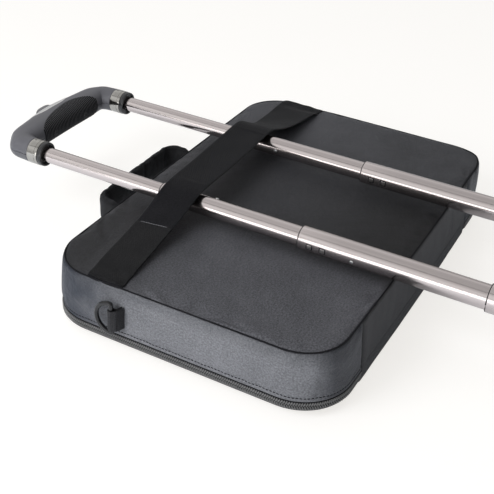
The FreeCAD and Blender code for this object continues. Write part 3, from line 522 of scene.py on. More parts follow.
def side_polys(hx, hyb, hyt, r, bul=(0, 0, 0, 0), nf=40):
    """Four sides (bottom, right, top, left), each from one corner's 45 degree point to the next, anticlockwise.
    bul: outward bulge in the middle of each side."""
    cs = [(-hx + NEAR + r, -hyb + r), (hx - r, -hyb + r), (hx - r, hyt - r), (-hx + NEAR + r, hyt - r)]
    a_mid = [225, 315, 45, 135]
    out = []
    for k in range(4):
        c0, c1 = cs[k], cs[(k + 1) % 4]
        a0, a1 = a_mid[k], a_mid[k] + 45
        b0, b1 = a_mid[(k + 1) % 4] - 45, a_mid[(k + 1) % 4]
        pts = [(c0[0] + r * math.cos(math.radians(a0 + (a1 - a0) * i / nf)), c0[1] + r * math.sin(math.radians(a0 + (a1 - a0) * i / nf))) for i in range(nf + 1)]
        e = [(c1[0] + r * math.cos(math.radians(b0 + (b1 - b0) * i / nf)), c1[1] + r * math.sin(math.radians(b0 + (b1 - b0) * i / nf))) for i in range(nf + 1)]
        p, q = np.array(pts[-1]), np.array(e[0])
        line = [tuple(p + (q - p) * i / 60) for i in range(1, 60)]
        P = np.array(pts + line + e)
        nrm = [(0, -1), (1, 0), (0, 1), (-1, 0)][k]
        L = np.r_[0, np.cumsum(np.linalg.norm(np.diff(P, axis=0), axis=1))]; t = L / L[-1]
        P = P + np.outer(bul[k] * np.sin(math.pi * t) ** 2, nrm)
        out.append(P)
    return out


def spaced(L, fine, coarse, ramp_n=5):
    """Positions 0..1 with fine cells at both ends of a length L."""
    steps = [fine * (coarse / fine) ** (i / ramp_n) for i in range(ramp_n)]
    edge = np.r_[0, np.cumsum(steps)]
    mid = L - 2 * edge[-1]
    n = max(2, int(round(mid / coarse)))
    inner = edge[-1] + mid * np.arange(1, n) / n
    return np.r_[edge, inner, L - edge[::-1]] / L


def along(P, t):
    L = np.r_[0, np.cumsum(np.linalg.norm(np.diff(P, axis=0), axis=1))]; L /= L[-1]
    return np.stack([np.interp(t, L, P[:, k]) for k in range(2)], 1)


TU = spaced(425, 1.3, 4.6); TV = spaced(278, 1.3, 4.6)
NU, NV = len(TU), len(TV)


def ring_at(hx, hyb, hyt, r, bul=(0, 0, 0, 0), like=None):
    """Closed ring of points that matches the border of the NU x NV patch.
    like: (hx, hy, r) of another outline whose straight parts keep the same x and y."""
    b, rt, tp, lf = side_polys(hx, hyb, hyt, r, bul)
    tu, tv = TU, TV
    if like:
        b0, r0, _, _ = side_polys(like[0], like[1], like[1], like[2])

        def remap(T_, P0, P1, ax, lim_):
            L0 = np.r_[0, np.cumsum(np.linalg.norm(np.diff(P0, axis=0), axis=1))]; L0 /= L0[-1]
            L1 = np.r_[0, np.cumsum(np.linalg.norm(np.diff(P1, axis=0), axis=1))]; L1 /= L1[-1]
            k0 = [0, np.interp(-lim_, P0[:, ax], L0), np.interp(lim_, P0[:, ax], L0), 1]
            k1 = [0, np.interp(-lim_, P1[:, ax], L1), np.interp(lim_, P1[:, ax], L1), 1]
            return np.interp(T_, k0, k1)
        tu = remap(TU, b0, b, 0, 158.0); tv = remap(TV, r0, rt, 1, 86.0)
    return np.vstack([along(b, tu)[:-1], along(rt, tv)[:-1], along(tp, 1 - tu[::-1])[:-1], along(lf, 1 - tv[::-1])[:-1]])


def coons(hx, hyb, hyt, r, bul=(0, 0, 0, 0)):
    b, rt, tp, lf = side_polys(hx, hyb, hyt, r, bul)
    B = along(b, TU); Rr = along(rt, TV); T = along(tp[::-1], TU); Lf = along(lf[::-1], TV)
    u = TU[None, :, None]; v = TV[:, None, None]
    P = (1 - v) * B[None] + v * T[None] + (1 - u) * Lf[:, None] + u * Rr[:, None] - (
        (1 - u) * (1 - v) * B[0] + u * (1 - v) * B[-1] + (1 - u) * v * T[0] + u * v * T[-1])
    return P  # (NV, NU, 2)


def border_index():
    """Patch vertex indices of the border, in the order of ring_at."""
    idx = lambda j, i: j * NU + i
    return ([idx(0, i) for i in range(NU - 1)] + [idx(j, NU - 1) for j in range(NV - 1)] +
            [idx(NV - 1, i) for i in range(NU - 1, 0, -1)] + [idx(j, 0) for j in range(NV - 1, 0, -1)])


BI = border_index(); NB_ = len(BI)

# camera
cam_d = bpy.data.cameras.new("cam"); cam = bpy.data.objects.new("cam", cam_d)
bpy.context.scene.collection.objects.link(cam)
R = ((0.47711424, -0.87774117, 0.04395963), (-0.46592341, -0.29504051, -0.83418612), (0.74516936, 0.37752025, -0.54972818))
cam.matrix_world = Matrix(((R[0][0], -R[1][0], -R[2][0], -0.77013), (R[0][1], -R[1][1], -R[2][1], -0.34607),
                           (R[0][2], -R[1][2], -R[2][2], 0.56507), (0, 0, 0, 1)))
cam_d.sensor_width = 36.0; cam_d.sensor_fit = "HORIZONTAL"; cam_d.lens = 976.4914 / 494 * 36.0
cam_d.clip_start = 0.01; cam_d.clip_end = 50
bpy.context.scene.camera = cam

# ------------------------------------------------------------------ case shell: back panel, side band and bottom panel as one sheet
Z_SEAM = 66.4


def snap(T, vals, w):
    """Puts columns exactly at each value, with one more on either side at +-w."""
    T = T.copy()
    for v in vals:
        keep = np.abs(T - v) > w * 1.9
        T = np.r_[T[keep], v - w, v, v + w]
    return np.sort(T)


_b, _r, _t, _l = side_polys(SEAM_HX, SEAM_HY, SEAM_HY, SEAM_R)
_L = np.r_[0, np.cumsum(np.linalg.norm(np.diff(_b, axis=0), axis=1))]
tu_seam = [float(np.interp(-SEAM_X, _b[:, 0], _L / _L[-1])), float(np.interp(SEAM_X, _b[:, 0], _L / _L[-1]))]
_Lr = np.r_[0, np.cumsum(np.linalg.norm(np.diff(_r, axis=0), axis=1))]
tv_tab = float(np.interp(54.5, _r[:, 1], _Lr / _Lr[-1]))
TU = snap(spaced(_L[-1], 1.4, 4.4), tu_seam, 1.3 / _L[-1])
TV = snap(spaced(_Lr[-1], 1.4, 4.4), [tv_tab], 1.3 / _Lr[-1])
NU, NV = len(TU), len(TV)
BI = border_index(); NBD = len(BI)
col_seam = [int(np.argmin(np.abs(TU - t))) for t in tu_seam]        # on the bottom side these are also ring indices
k_tab_r = (NU - 1) + int(np.argmin(np.abs(TV - tv_tab)))
k_tab_l = (NU - 1) + (NV - 1) + (NU - 1) + (NV - 1 - int(np.argmin(np.abs(TV - tv_tab))))

BUL = (1.2, 0.3, 0.3, 0.0)
top = coons(SEAM_HX, SEAM_HY, SEAM_HY, SEAM_R, BUL)
seam_ring = ring_at(SEAM_HX, SEAM_HY, SEAM_HY, SEAM_R, BUL)
zip_ring = ring_at(ZIP_HX, ZIP_HY, ZIP_HY, ZIP_R, (1.2, 0, 0, 0), like=(SEAM_HX, SEAM_HY, SEAM_R))


def ring_normals(P):
    T = np.roll(P, -1, 0) - np.roll(P, 1, 0)
    T /= np.linalg.norm(T, axis=1)[:, None]
    return np.stack([T[:, 1], -T[:, 0]], 1)


NRM = ring_normals(seam_ring)
ring_len = np.r_[0, np.cumsum(np.linalg.norm(np.diff(np.vstack([zip_ring, zip_ring[:1]]), axis=0), axis=1))]
# rows of the wall: (outward offset from the seam outline, height); the last rows follow the zip outline
shoulder = [(0.4, 65.5), (1.0, 65.3), (1.6, 64.9), (2.0, 64.0), (2.3, 62.6), (2.4, 60.9)]
levels = [58.6, 55.5, 52.0, 48.4, 44.8, 41.2, 37.6, 34.0, 30.4, 27.2, 24.6, 23.4, 22.2, 20.2, 18.4, 17.2]
# the near side and the bottom swell a little more than the others
SIDE_B = np.interp(NRM[:, 0] * -1.0, [-1, 0.2, 1], [0.3, 0.5, 1.1])
rows = []
for o, z in shoulder:
    rows.append(np.c_[seam_ring + NRM * o, np.full(NBD, z)])
for z in levels:
    w_ = (shoulder[-1][1] - z) / (shoulder[-1][1] - 16.0)
    lean = w_ ** 1.0
    p = (seam_ring + NRM * shoulder[-1][0]) * (1 - lean) + (zip_ring + NRM * 0.2) * lean
    rows.append(np.c_[p + NRM * (SIDE_B * math.sin(math.pi * w_))[:, None], np.full(NBD, z)])
rows.append(np.c_[zip_ring + NRM * 0.1, np.full(NBD, 16.3)])
rows.append(np.c_[zip_ring - NRM * 0.8, np.full(NBD, 16.1)])
n_rows = len(rows)

# top panel rest shape: rolled edge
tp = np.zeros((NV * NU, 3)); tp[:, :2] = top.reshape(-1, 2)
ring_t = seam_ring
from mathutils.kdtree import KDTree
kd = KDTree(len(ring_t))
for i, p in enumerate(ring_t):
    kd.insert((p[0], p[1], 0), i)
kd.balance()
dist = np.array([kd.find((p[0], p[1], 0))[2] for p in tp[:, :2]])
near = np.array([kd.find((p[0], p[1], 0))[1] for p in tp[:, :2]])
tp[:, 2] = Z_SEAM + 1.7 * (1 - np.exp(-dist / 1.2))
bi = np.array(BI)
tp[bi, 2] = Z_SEAM
V = [tp]; F = grid(NV, NU)
off = NV * NU
rows_off = []
for r in rows:
    rows_off.append(off); V.append(r); off += NBD
# wall faces
wall_faces = []
prev = bi
for ro in rows_off:
    cur = np.arange(ro, ro + NBD)
    for c in range(NBD):
        c2 = (c + 1) % NBD
        wall_faces.append([int(prev[c2]), int(prev[c]), int(cur[c]), int(cur[c2])])
    prev = cur
n_top = len(F)
F = F + wall_faces
n_wall = len(wall_faces)
# bottom cap, pinned, closes the volume for the pressure
cap_c = off; V.append(np.array([[0, 0, 16.1]])); off += 1
for c in range(NBD):
    F.append([int(prev[(c + 1) % NBD]), int(prev[c]), cap_c])
V = np.vstack(V)

# a little built-in unevenness, so that the wrinkles start from somewhere
z_in = np.clip(dist / 30, 0, 1)
V[:NV * NU, 2] += 0.25 * vnoise(V[:NV * NU, :2] / 38.0, 3) * z_in
wo = np.zeros(len(V)); wo[NV * NU:NV * NU + n_rows * NBD] = 1
ang = np.tile(ring_len[:-1], n_rows); zz = V[NV * NU:NV * NU + n_rows * NBD, 2]
wn = vnoise(np.c_[ang / 26.0, zz / 34.0], 11)
mid = smoothstep(16.3, 26, zz) * (1 - smoothstep(58, 66, zz))
nn = np.tile(NRM, (n_rows, 1))
V[NV * NU:NV * NU + n_rows * NBD, :2] += nn * (0.35 * wn * mid)[:, None]

shell = add("shell_tmp", V, F, None, smooth=True)
pin = np.zeros(len(V))
pin[bi] = 1.0
pin[:NV * NU] = np.maximum(pin[:NV * NU], 0.02)
pin[rows_off[0]:rows_off[1]] = 0.9
pin[rows_off[1]:rows_off[2]] = 0.6
pin[rows_off[2]:rows_off[3]] = 0.3
for k in range(3):
    a = rows_off[-1 - k]; pin[a:a + NBD] = 1.0
a = rows_off[-4]; pin[a:a + NBD] = 0.7
for ks in col_seam + [k_tab_r, k_tab_l]:
    for i, ro in enumerate(rows_off):
        zrow = rows[i][0, 2]
        if ks in (k_tab_r, k_tab_l) and zrow < 22:
            continue
        pin[ro + ks] = max(pin[ro + ks], 0.9)
        for dk in (-1, 1):
            pin[ro + (ks + dk) % NBD] = max(pin[ro + (ks + dk) % NBD], 0.5)
pin[cap_c] = 1.0
rest_co = V.copy()
mx = run_cloth(shell, pin, pressure=3.0, frames_n=20, shrink=-0.018, cap=6.0, tension=20.0, bend=0.6)
print("shell sim moved", round(mx, 1))
co = get_co(shell)
d = co - rest_co
# the panel lies on flat foam under the tubes and the strap: keep the folds, limit the swell
iT = np.arange(NV * NU)
dz = d[iT, 2]
x_, y_ = rest_co[iT, 0], rest_co[iT, 1]
foam = np.clip(dist / 26.0, 0, 1)
tube_gap = np.minimum(np.abs(np.abs(x_) - TX) / 26.0, 1.0)
strap_gap = np.clip(np.maximum(STRAP_Y0 - 4 - y_, y_ - STRAP_Y1 - 4) / 16.0, 0, 1)
lim = 68.45 + 0.95 * smoothstep(0.55, 1.0, tube_gap) * strap_gap * (1 - 0.3 * foam)
zz2 = rest_co[iT, 2] + dz
soft = 1.1
zz2 = lim - soft * np.log1p(np.exp(np.clip((lim - zz2) / soft, -40, 40))) if False else np.minimum(zz2, lim)
co[iT, 2] = zz2
co[iT, :2] = rest_co[iT, :2] + d[iT, :2] * 0.6
# wall: keep the swell within a few millimetres
iW = np.arange(NV * NU, NV * NU + n_rows * NBD)
dn = (d[iW, :2] * nn).sum(1)
dt = d[iW, :2] - nn * dn[:, None]
dn2 = 2.2 * np.tanh(dn / 3.0) * (1 - 0.75 * np.tile(((np.arange(NBD) > col_seam[0]) & (np.arange(NBD) < col_seam[1])).astype(float), n_rows)) * (0.55 + 0.45 * np.clip(-nn[:, 0] * 1.6 + 0.3, 0, 1))
co[iW, :2] = rest_co[iW, :2] + dt * 0.5 + nn * dn2[:, None]
co[iW, 2] = rest_co[iW, 2] + np.where(rest_co[iW, 2] > 57, np.clip(d[iW, 2] * 0.3, -0.6, 0.1), d[iW, 2] * 0.5)

# ---- shaped details on top of the simulated cloth
P = co[iT]
x_, y_ = P[:, 0], P[:, 1]
per = ring_len[:-1][near]                   # place along the outline
dd = dist


def crease(p, x0, y0, ang, length, width, h, bend=0.0):
    """A soft fold: ridge height h along a line through (x0, y0)."""
    c, s = math.cos(math.radians(ang)), math.sin(math.radians(ang))
    u = (p[:, 0] - x0) * c + (p[:, 1] - y0) * s
    v = -(p[:, 0] - x0) * s + (p[:, 1] - y0) * c - bend * (u / length) ** 2 * length
    return h * np.exp(-(v / width) ** 2) * np.exp(-(u / (length / 2)) ** 4)


q = P[:, :2]
hgt = np.zeros(len(P))
# gathers along the outline of the back panel
gath = vnoise(np.c_[per / 11.0, dd / 45.0], 21, 2)
hgt += 0.55 * gath * np.exp(-((dd - 7) / 11.0) ** 2)
gath2 = vnoise(np.c_[per / 24.0, dd / 60.0], 22, 2)
hgt += 0.7 * gath2 * np.exp(-((dd - 14) / 22.0) ** 2)
# long soft folds on the near field and the corner
for c_ in ((-170, -20, 68, 110, 7, -0.55, 0.1), (-188, -40, 62, 80, 5, 0.5, 0.1), (-150, 10, 60, 120, 8, 0.4, 0.12), (-178, -75, 55, 60, 5, -0.5, 0),
           (-140, -112, 20, 90, 5, -0.5, 0.05), (-60, -122, 8, 110, 5, -0.5, 0.0), (40, -118, -4, 90, 6, -0.45, 0.05), (150, -110, -35, 80, 5, -0.5, 0),
           (165, -60, 80, 90, 6, -0.5, 0.05), (180, 10, 96, 90, 6, -0.5, 0), (-120, 120, 12, 100, 5, -0.5, 0), (0, 118, 3, 90, 6, -0.5, 0),
           (120, 116, -10, 90, 5, -0.5, 0), (0, -40, 20, 120, 14, -0.5, 0.05), (20, 10, 160, 110, 12, 0.4, 0.05), (-190, 110, 50, 60, 5, -0.5, 0),
           (186, 112, 130, 60, 5, -0.5, 0)):
    hgt += crease(q, *c_)
hgt *= 1 + 0.8 * np.exp(-((q[:, 0] + 170) / 70.0) ** 2)
low = 1 - np.exp(-dd / 3.0)
co[iT, 2] = np.minimum(co[iT, 2] - 0.25 + hgt * 0.8 * low, lim + 0.1)
# wall: gathers under the seam, seams drawn in
zw = rest_co[iW, 2]
sw = np.tile(ring_len[:-1], n_rows)
g1 = vnoise(np.c_[sw / 9.0, zw / 30.0], 31, 2) * np.exp(-((zw - 60) / 7.0) ** 2) * 0.45
g2 = vnoise(np.c_[sw / 30.0, zw / 22.0], 32, 3) * mid * 0.75
hw = g1 + g2


def ring_d(k):
    a = np.abs(sw - ring_len[k]); return np.minimum(a, ring_len[-1] - a)


def ring_s(k):
    a = sw - ring_len[k]; a = np.where(a > ring_len[-1] / 2, a - ring_len[-1], a); return np.where(a < -ring_len[-1] / 2, a + ring_len[-1], a)


on_bottom = np.tile(((np.arange(NBD) > col_seam[0]) & (np.arange(NBD) < col_seam[1])).astype(float), n_rows)
hw *= 1 - 0.85 * on_bottom
for ks in col_seam:
    a = ring_d(ks); s_ = ring_s(ks)
    hw += -1.5 * np.exp(-(a / 1.5) ** 2) + 0.6 * np.exp(-((a - 5) / 3.5) ** 2)
    # puckers that fan out from the top of the seam
    for sg, sl in ((1, 0.9), (1, 0.35), (-1, 0.5), (-1, 1.3)):
        line = (s_ * sg) - (66 - zw) * sl - 2.5
        hw += 0.38 * (1 - 0.5 * on_bottom) * np.exp(-(line / 2.2) ** 2) * smoothstep(36, 62, zw) * (s_ * sg > 0)
for kt in (k_tab_l, k_tab_r):
    a = ring_d(kt); s_ = ring_s(kt)
    on = smoothstep(20, 24, zw)
    hw += (-1.1 * np.exp(-(a / 1.4) ** 2) + 0.35 * np.exp(-((a - 4.5) / 3.0) ** 2)) * on
    # pulled hollow by the tab, and slanting folds from the seam above it
    for sg in (-1, 1):
        hw += -0.95 * np.exp(-(((s_ * sg) - 9) / 7.0) ** 2) * np.exp(-((zw - 50) / 9.0) ** 2)
        for sl, z0_ in ((1.6, 63), (2.8, 50), (0.9, 40)):
            line = (z0_ - zw) * sl - (s_ * sg) + 3
            hw += -0.55 * np.exp(-(line / 4.0) ** 2) * np.exp(-(np.abs(s_) / 34.0) ** 2) * (s_ * sg > 0)
top_pin = 1 - np.exp(-np.maximum(0, 65.4 - zw) / 1.2)
bot_pin = smoothstep(16.5, 20.5, zw)
# hollow under the back seam on both sides of the tab
hw += -1.3 * np.exp(-((zw - 57.5) / 5.0) ** 2) * sum(np.exp(-((ring_s(kt) * (1 if kt == k_tab_l else -1) - 34) / 26.0) ** 2) for kt in (k_tab_l, k_tab_r))
hw = hw * np.clip(top_pin, 0, 1) * bot_pin
# the topstitch row draws the cloth in
hw += -0.4 * np.exp(-((zw - 20.2) / 1.0) ** 2)
co[iW, :2] += nn * hw[:, None]
# the band is hemmed: a small roll above the zip
roll = np.exp(-((zw - 17.6) / 1.1) ** 2) * 0.45
co[iW, :2] += nn * roll[:, None]
# far edge: the end of the strap pulls the seam in
pinch = np.exp(-((co[:, 1] - 77.5) / 24.0) ** 4) * (co[:, 0] > 190) * smoothstep(40, 66, co[:, 2])
co[:, 0] -= 1.0 * pinch
# the corner at +X, -Y stands out a little
cn = np.exp(-(((co[:, 0] - 202) / 20.0) ** 2 + ((co[:, 1] + 128) / 20.0) ** 2)) * smoothstep(10, 50, co[:, 2])
co[:, 0] += 3.4 * cn; co[:, 1] -= 3.0 * cn
bpy.data.objects.remove(shell)

# ---- smooth the cells of the back panel next to its four corners
Pg = co[iT].reshape(NV, NU, 3).copy(); Dg = dist.reshape(NV, NU)
near_c = np.zeros((NV, NU))
for cx_, cy_ in ((-1, -1), (1, -1), (1, 1), (-1, 1)):
    c0_ = np.array([cx_ * (SEAM_HX - SEAM_R + SEAM_R * 0.7071), cy_ * (SEAM_HY - SEAM_R + SEAM_R * 0.7071)])
    near_c = np.maximum(near_c, np.exp(-(((Pg[..., 0] - c0_[0]) ** 2 + (Pg[..., 1] - c0_[1]) ** 2) / 16.0 ** 2) ** 2))
wgt_ = (near_c * (Dg > 0))[..., None]
for _ in range(60):
    Q_ = Pg.copy()
    Q_[1:-1, 1:-1] = 0.25 * (Pg[:-2, 1:-1] + Pg[2:, 1:-1] + Pg[1:-1, :-2] + Pg[1:-1, 2:])
    Pg += (Q_ - Pg) * wgt_ * 0.7
co[iT] = Pg.reshape(-1, 3)

# ---- split into the three panels
uv_top = co[iT, :2].copy()
panel_faces = F[:n_top]
pv = co[iT]
# the panel turns down into the seam, then under it
back = add("back_panel_cloth", pv, panel_faces, M_PANEL, "case", ("back_panel",), uv=uv_top)
solidify(back, 0.9); subsurf(back)

seam_row = co[bi]


def wall_piece(name, k0, k1, mat, reps, extra=None, body="case", z_end=None):
    """Columns k0..k1 (cyclic) of the wall as an open strip."""
    ks = [(k0 + i) % NBD for i in range(((k1 - k0) % NBD) + 1)]
    s_at = np.r_[0, np.cumsum([np.linalg.norm(zip_ring[ks[i]] - zip_ring[ks[i - 1]]) for i in range(1, len(ks))])]
    R_ = [seam_row[ks] - np.c_[NRM[ks] * 0.0, np.full(len(ks), 0.35)]]
    for ro in rows_off:
        R_.append(co[ro + np.array(ks)])
    if extra:
        for o, z in extra:
            R_.append(np.c_[zip_ring[ks] + NRM[ks] * o, np.full(len(ks), z)])
    Vv = np.vstack(R_)
    nr, nc = len(R_), len(ks)
    h = np.zeros(nr)
    for i in range(1, nr):
        h[i] = h[i - 1] + np.median(np.linalg.norm(R_[i] - R_[i - 1], axis=1))
    UVv = np.stack([np.tile(s_at, nr), np.repeat(-h, nc)], 1)
    Ff = grid(nr, nc, flip=True)
    ob = add(name, Vv, Ff, mat, body, reps, uv=UVv)
    return ob, nc


k0, k1 = col_seam
gus, _ = wall_piece("side_band_cloth", k1, k0, M_SIDE, ("gusset_band",), extra=[(-1.8, 15.8), (-3.0, 15.7)])
fix_normals(gus)
bot, _ = wall_piece("bottom_panel_cloth", k0, k1, M_BOTTOM, ("bottom_panel",))
fix_normals(bot)
# bottom panel: its mesh goes through bmesh and is written back as it was
bm = bmesh.new(); bm.from_mesh(bot.data)
bm.to_mesh(bot.data); bm.free()
for o_ in (gus, bot):
    # make sure that normals face out
    me = o_.data
    c = np.array([p.center[:] for p in me.polygons]); n_ = np.array([p.normal[:] for p in me.polygons])
    if (c[:, :2] * n_[:, :2]).sum() < 0:
        me.flip_normals()
    solidify(o_, 1.0); subsurf(o_)
me = back.data
if np.array([p.normal[2] for p in me.polygons]).mean() < 0:
    me.flip_normals()

# dark strip laid in the groove along the back seam as painted shadow, for the shade in the groove
cr_ = np.array([co[int(i)] for i in bi]) + np.c_[NRM * 0.45, np.full(NBD, -0.1)]
Vv, Ff, Uu = sweep(cr_, rsec(1.5, 1.2, 0.5, 2), (0, 0, 1), closed=True)
o_ = add("back_seam_cord", Vv, Ff, M_THREAD, "case", uv=Uu); fix_normals(o_)

# ------------------------------------------------------------------ small repeated shapes


def capsule(r=0.3, n=6):
    """Unit capsule along X from -0.5 to 0.5 (length scaled later); returns verts (t, a, b) and faces."""
    tt = [(-0.5, 0.45), (-0.38, 1.0), (0.38, 1.0), (0.5, 0.45)]
    Vv = []
    for t, k in tt:
        for i in range(n):
            a = 2 * math.pi * i / n
            Vv.append((t, r * k * math.cos(a), r * k * math.sin(a)))
    Ff = grid(4, n, closed_c=True)
    Ff.append(list(range(n))[::-1]); Ff.append(list(range(3 * n, 4 * n)))
    return np.array(Vv), [f[::-1] for f in Ff]


def place(tmpl, O, X, Y, Z):
    """Copies of a template at origins O with axis vectors X, Y, Z (scaled)."""
    tv, tf = tmpl
    O, X, Y, Z = [np.asarray(a, float) for a in (O, X, Y, Z)]
    Vv = O[:, None, :] + tv[None, :, 0:1] * X[:, None, :] + tv[None, :, 1:2] * Y[:, None, :] + tv[None, :, 2:3] * Z[:, None, :]
    m = len(tv)
    F0 = []
    for i in range(len(O)):
        F0 += [[j + i * m for j in f] for f in tf]
    return Vv.reshape(-1, 3), F0


def row_stitches(name, P, nrm, mat, body, length=2.2, r=0.3, sink=0.1):
    """Stitches centred on points P (evenly spaced along a line), lying along the line."""
    P = np.asarray(P, float)
    T = np.gradient(P, axis=0); T /= np.linalg.norm(T, axis=1)[:, None]
    nrm = np.broadcast_to(np.asarray(nrm, float), P.shape); nrm = nrm / np.linalg.norm(nrm, axis=1)[:, None]
    B = np.cross(nrm, T); B /= np.linalg.norm(B, axis=1)[:, None]
    Vv, Ff = place(capsule(1.0), P - nrm * sink, T * length, B * r, nrm * r)
    ob = add(name, Vv, Ff, mat, body)
    fix_normals(ob)
    return ob


def bvh_of(ob):
    from mathutils.bvhtree import BVHTree
    dg = bpy.context.evaluated_depsgraph_get(); dg.update()
    return BVHTree.FromObject(ob, dg)


def hit(bvh, o, d):
    h = bvh.ray_cast(Vector([c * MM for c in o]), Vector(d))
    if h[0] is None:
        return None, None
    return np.array(h[0]) * 1000, np.array(h[1])


# ------------------------------------------------------------------ stitches on the side band
ks_zip = [(col_seam[1] + i) % NBD for i in range(((col_seam[0] - col_seam[1]) % NBD) + 1)]
Zp = zip_ring[ks_zip]; Zn = ring_normals(zip_ring)[ks_zip]
zs = np.r_[0, np.cumsum(np.linalg.norm(np.diff(Zp, axis=0), axis=1))]
bvh = bvh_of(gus)
pos = np.arange(3.0, zs[-1] - 3.0, 3.3)
pts, nrs = [], []
for s_ in pos:
    x0 = np.interp(s_, zs, Zp[:, 0]); y0 = np.interp(s_, zs, Zp[:, 1])
    n0 = np.array([np.interp(s_, zs, Zn[:, 0]), np.interp(s_, zs, Zn[:, 1])]); n0 /= np.linalg.norm(n0)
    p, n_ = hit(bvh, (x0 + n0[0] * 12, y0 + n0[1] * 12, 20.3), (-n0[0], -n0[1], 0))
    if p is not None:
        pts.append(p); nrs.append(n_ if n_[0] * n0[0] + n_[1] * n0[1] > 0 else -n_)
row_stitches("band_topstitch", pts, nrs, M_THREAD, "case", length=2.2, r=0.5, sink=0.05)

# ------------------------------------------------------------------ zip: tape halves and coil
s_c = np.arange(0.0, zs[-1], 3.0); s_c = np.r_[s_c, zs[-1]]
C2 = np.stack([np.interp(s_c, zs, Zp[:, 0]), np.interp(s_c, zs, Zp[:, 1])], 1)
n2 = np.stack([np.interp(s_c, zs, Zn[:, 0]), np.interp(s_c, zs, Zn[:, 1])], 1); n2 /= np.linalg.norm(n2, axis=1)[:, None]


def tape(name, prof, mat, body, reps):
    """Closed profile [(offset out, z)] carried along the zip line."""
    m = len(prof)
    Vv = np.vstack([np.c_[C2 + n2 * o, np.full(len(C2), z)] for o, z in prof])
    nc = len(C2)
    per = np.r_[0, np.cumsum([math.dist(prof[i], prof[i - 1]) for i in range(1, m)])]
    UVv = np.stack([np.tile(s_c, m), np.repeat(per, nc)], 1)
    Ff = []
    for i in range(m):
        i2 = (i + 1) % m
        for c in range(nc - 1):
            Ff.append([i * nc + c, i * nc + c + 1, i2 * nc + c + 1, i2 * nc + c])
    Ff.append([i * nc for i in range(m)]); Ff.append([i * nc + nc - 1 for i in range(m)][::-1])
    ob = add(name, Vv, Ff, mat, body, reps, uv=UVv); fix_normals(ob)
    return ob


tape("zip_tape_case", [(-3.2, 15.9), (-0.6, 15.9), (0.45, 15.5), (0.55, 13.6), (0.45, 12.12), (-0.5, 12.12), (-0.8, 14.9), (-3.2, 15.1)], M_TAPE, "case", ("zip_upper",))
tape("zip_tape_lid", [(-3.2, 7.4), (-0.6, 7.3), (0.40, 7.7), (0.55, 9.8), (0.45, 11.88), (-0.5, 11.88), (-0.8, 8.5), (-3.2, 8.3)], M_TAPE, "front_lid", ("zip_lower",))

pitch = 2.15
tpos = np.arange(1.0, zs[-1] - 1.0, pitch)
C3 = np.stack([np.interp(tpos, zs, Zp[:, 0]), np.interp(tpos, zs, Zp[:, 1])], 1)
n3 = np.stack([np.interp(tpos, zs, Zn[:, 0]), np.interp(tpos, zs, Zn[:, 1])], 1); n3 /= np.linalg.norm(n3, axis=1)[:, None]
T3 = np.stack([-n3[:, 1], n3[:, 0]], 1)


def teeth(name, z0, z1, slant, body, shift=0.0):
    a = np.c_[C3 + n3 * 0.85 + T3 * (-slant / 2 + shift), np.full(len(C3), z0)]
    b = np.c_[C3 + n3 * 0.75 + T3 * (slant / 2 + shift), np.full(len(C3), z1)]
    X = b - a; Nn = np.c_[n3, np.zeros(len(n3))]
    B = np.cross(X, Nn); B /= np.linalg.norm(B, axis=1)[:, None]
    Vv, Ff = place(capsule(1.0, 8), (a + b) / 2, X, B * 0.64, Nn * 0.62)
    ob = add(name, Vv, Ff, M_COIL, body); fix_normals(ob)
    return ob


teeth("zip_coil_case", 12.1, 15.6, 1.5, "case")
teeth("zip_coil_lid", 11.9, 7.9, 1.5, "front_lid", shift=pitch / 2)
# stitched cord that runs along the middle of each coil
for nm_, zc_, bd_ in (("zip_cord_case", 14.3, "case"), ("zip_cord_lid", 9.6, "front_lid")):
    Pc = np.c_[C2 + n2 * 1.22, np.full(len(C2), zc_)]
    Vv, Ff, Uu = sweep(Pc, rsec(0.5, 0.36, 0.17, 2), (0, 0, 1))
    o_ = add(nm_, Vv, Ff, M_COIL, bd_, uv=Uu); fix_normals(o_)

# ------------------------------------------------------------------ front lid: tray with a rolled edge
LX, LY, LR = nbox("front_panel")[1][0], nbox("front_panel")[1][1], 35.5
lid_ring = ring_at(LX, LY, LY, LR)
zn_full = ring_normals(zip_ring)
lrows = []
gap_l = ZIP_HX - LX
for o, z in ((-3.0, 7.9), (-0.9, 7.7), (-0.15, 7.2), (-0.2, 6.6), (-0.9, 5.9), (-2.3, 5.1), (-3.9, 4.2), (-5.6, 3.2), (-7.1, 2.3), (-8.4, 1.4), (-9.3, 0.7), (-9.8, 0.4)):
    w_ = max(0.0, min(1.0, (-o - 0.3) / 9.6)) if z < 7.0 else 0.0
    p = zip_ring * (1 - w_) + lid_ring * w_ + zn_full * (o + w_ * 9.6 if z < 7.0 else o)
    lrows.append(np.c_[p, np.full(NBD, z)])
sw_l = ring_len[:-1]
for i, r in enumerate(lrows[3:10]):
    amp = [0.05, 0.15, 0.25, 0.3, 0.3, 0.25, 0.15][i]
    r[:, :2] += zn_full * (amp * vnoise(np.c_[sw_l / 16.0, np.full(NBD, i / 3.0)], 41, 2))[:, None]
lp = coons(LX, LY, LY, LR).reshape(-1, 2)
lz = np.full(NV * NU, 0.0)
wv = vnoise(np.c_[lp / 30.0], 42, 3)
lz += np.clip(0.35 * (wv + 0.1), 0, 0.45) * np.clip(dist / 8, 0, 1)
lz[bi] = 0.9
inner1 = (dist > 0) & (dist < 2.2)
lz[inner1] = 0.12
Vl = [np.c_[lp, lz]]; o_ = NV * NU; Fl = [f[::-1] for f in grid(NV, NU)]
prev = bi; offs = []
for r in lrows[::-1]:
    Vl.append(r); cur = np.arange(o_, o_ + NBD); offs.append(o_)
    for c in range(NBD):
        c2 = (c + 1) % NBD
        Fl.append([int(prev[c]), int(prev[c2]), int(cur[c2]), int(cur[c])])
    prev = cur; o_ += NBD
Vl = np.vstack(Vl)
uvl = Vl[:, :2].copy()
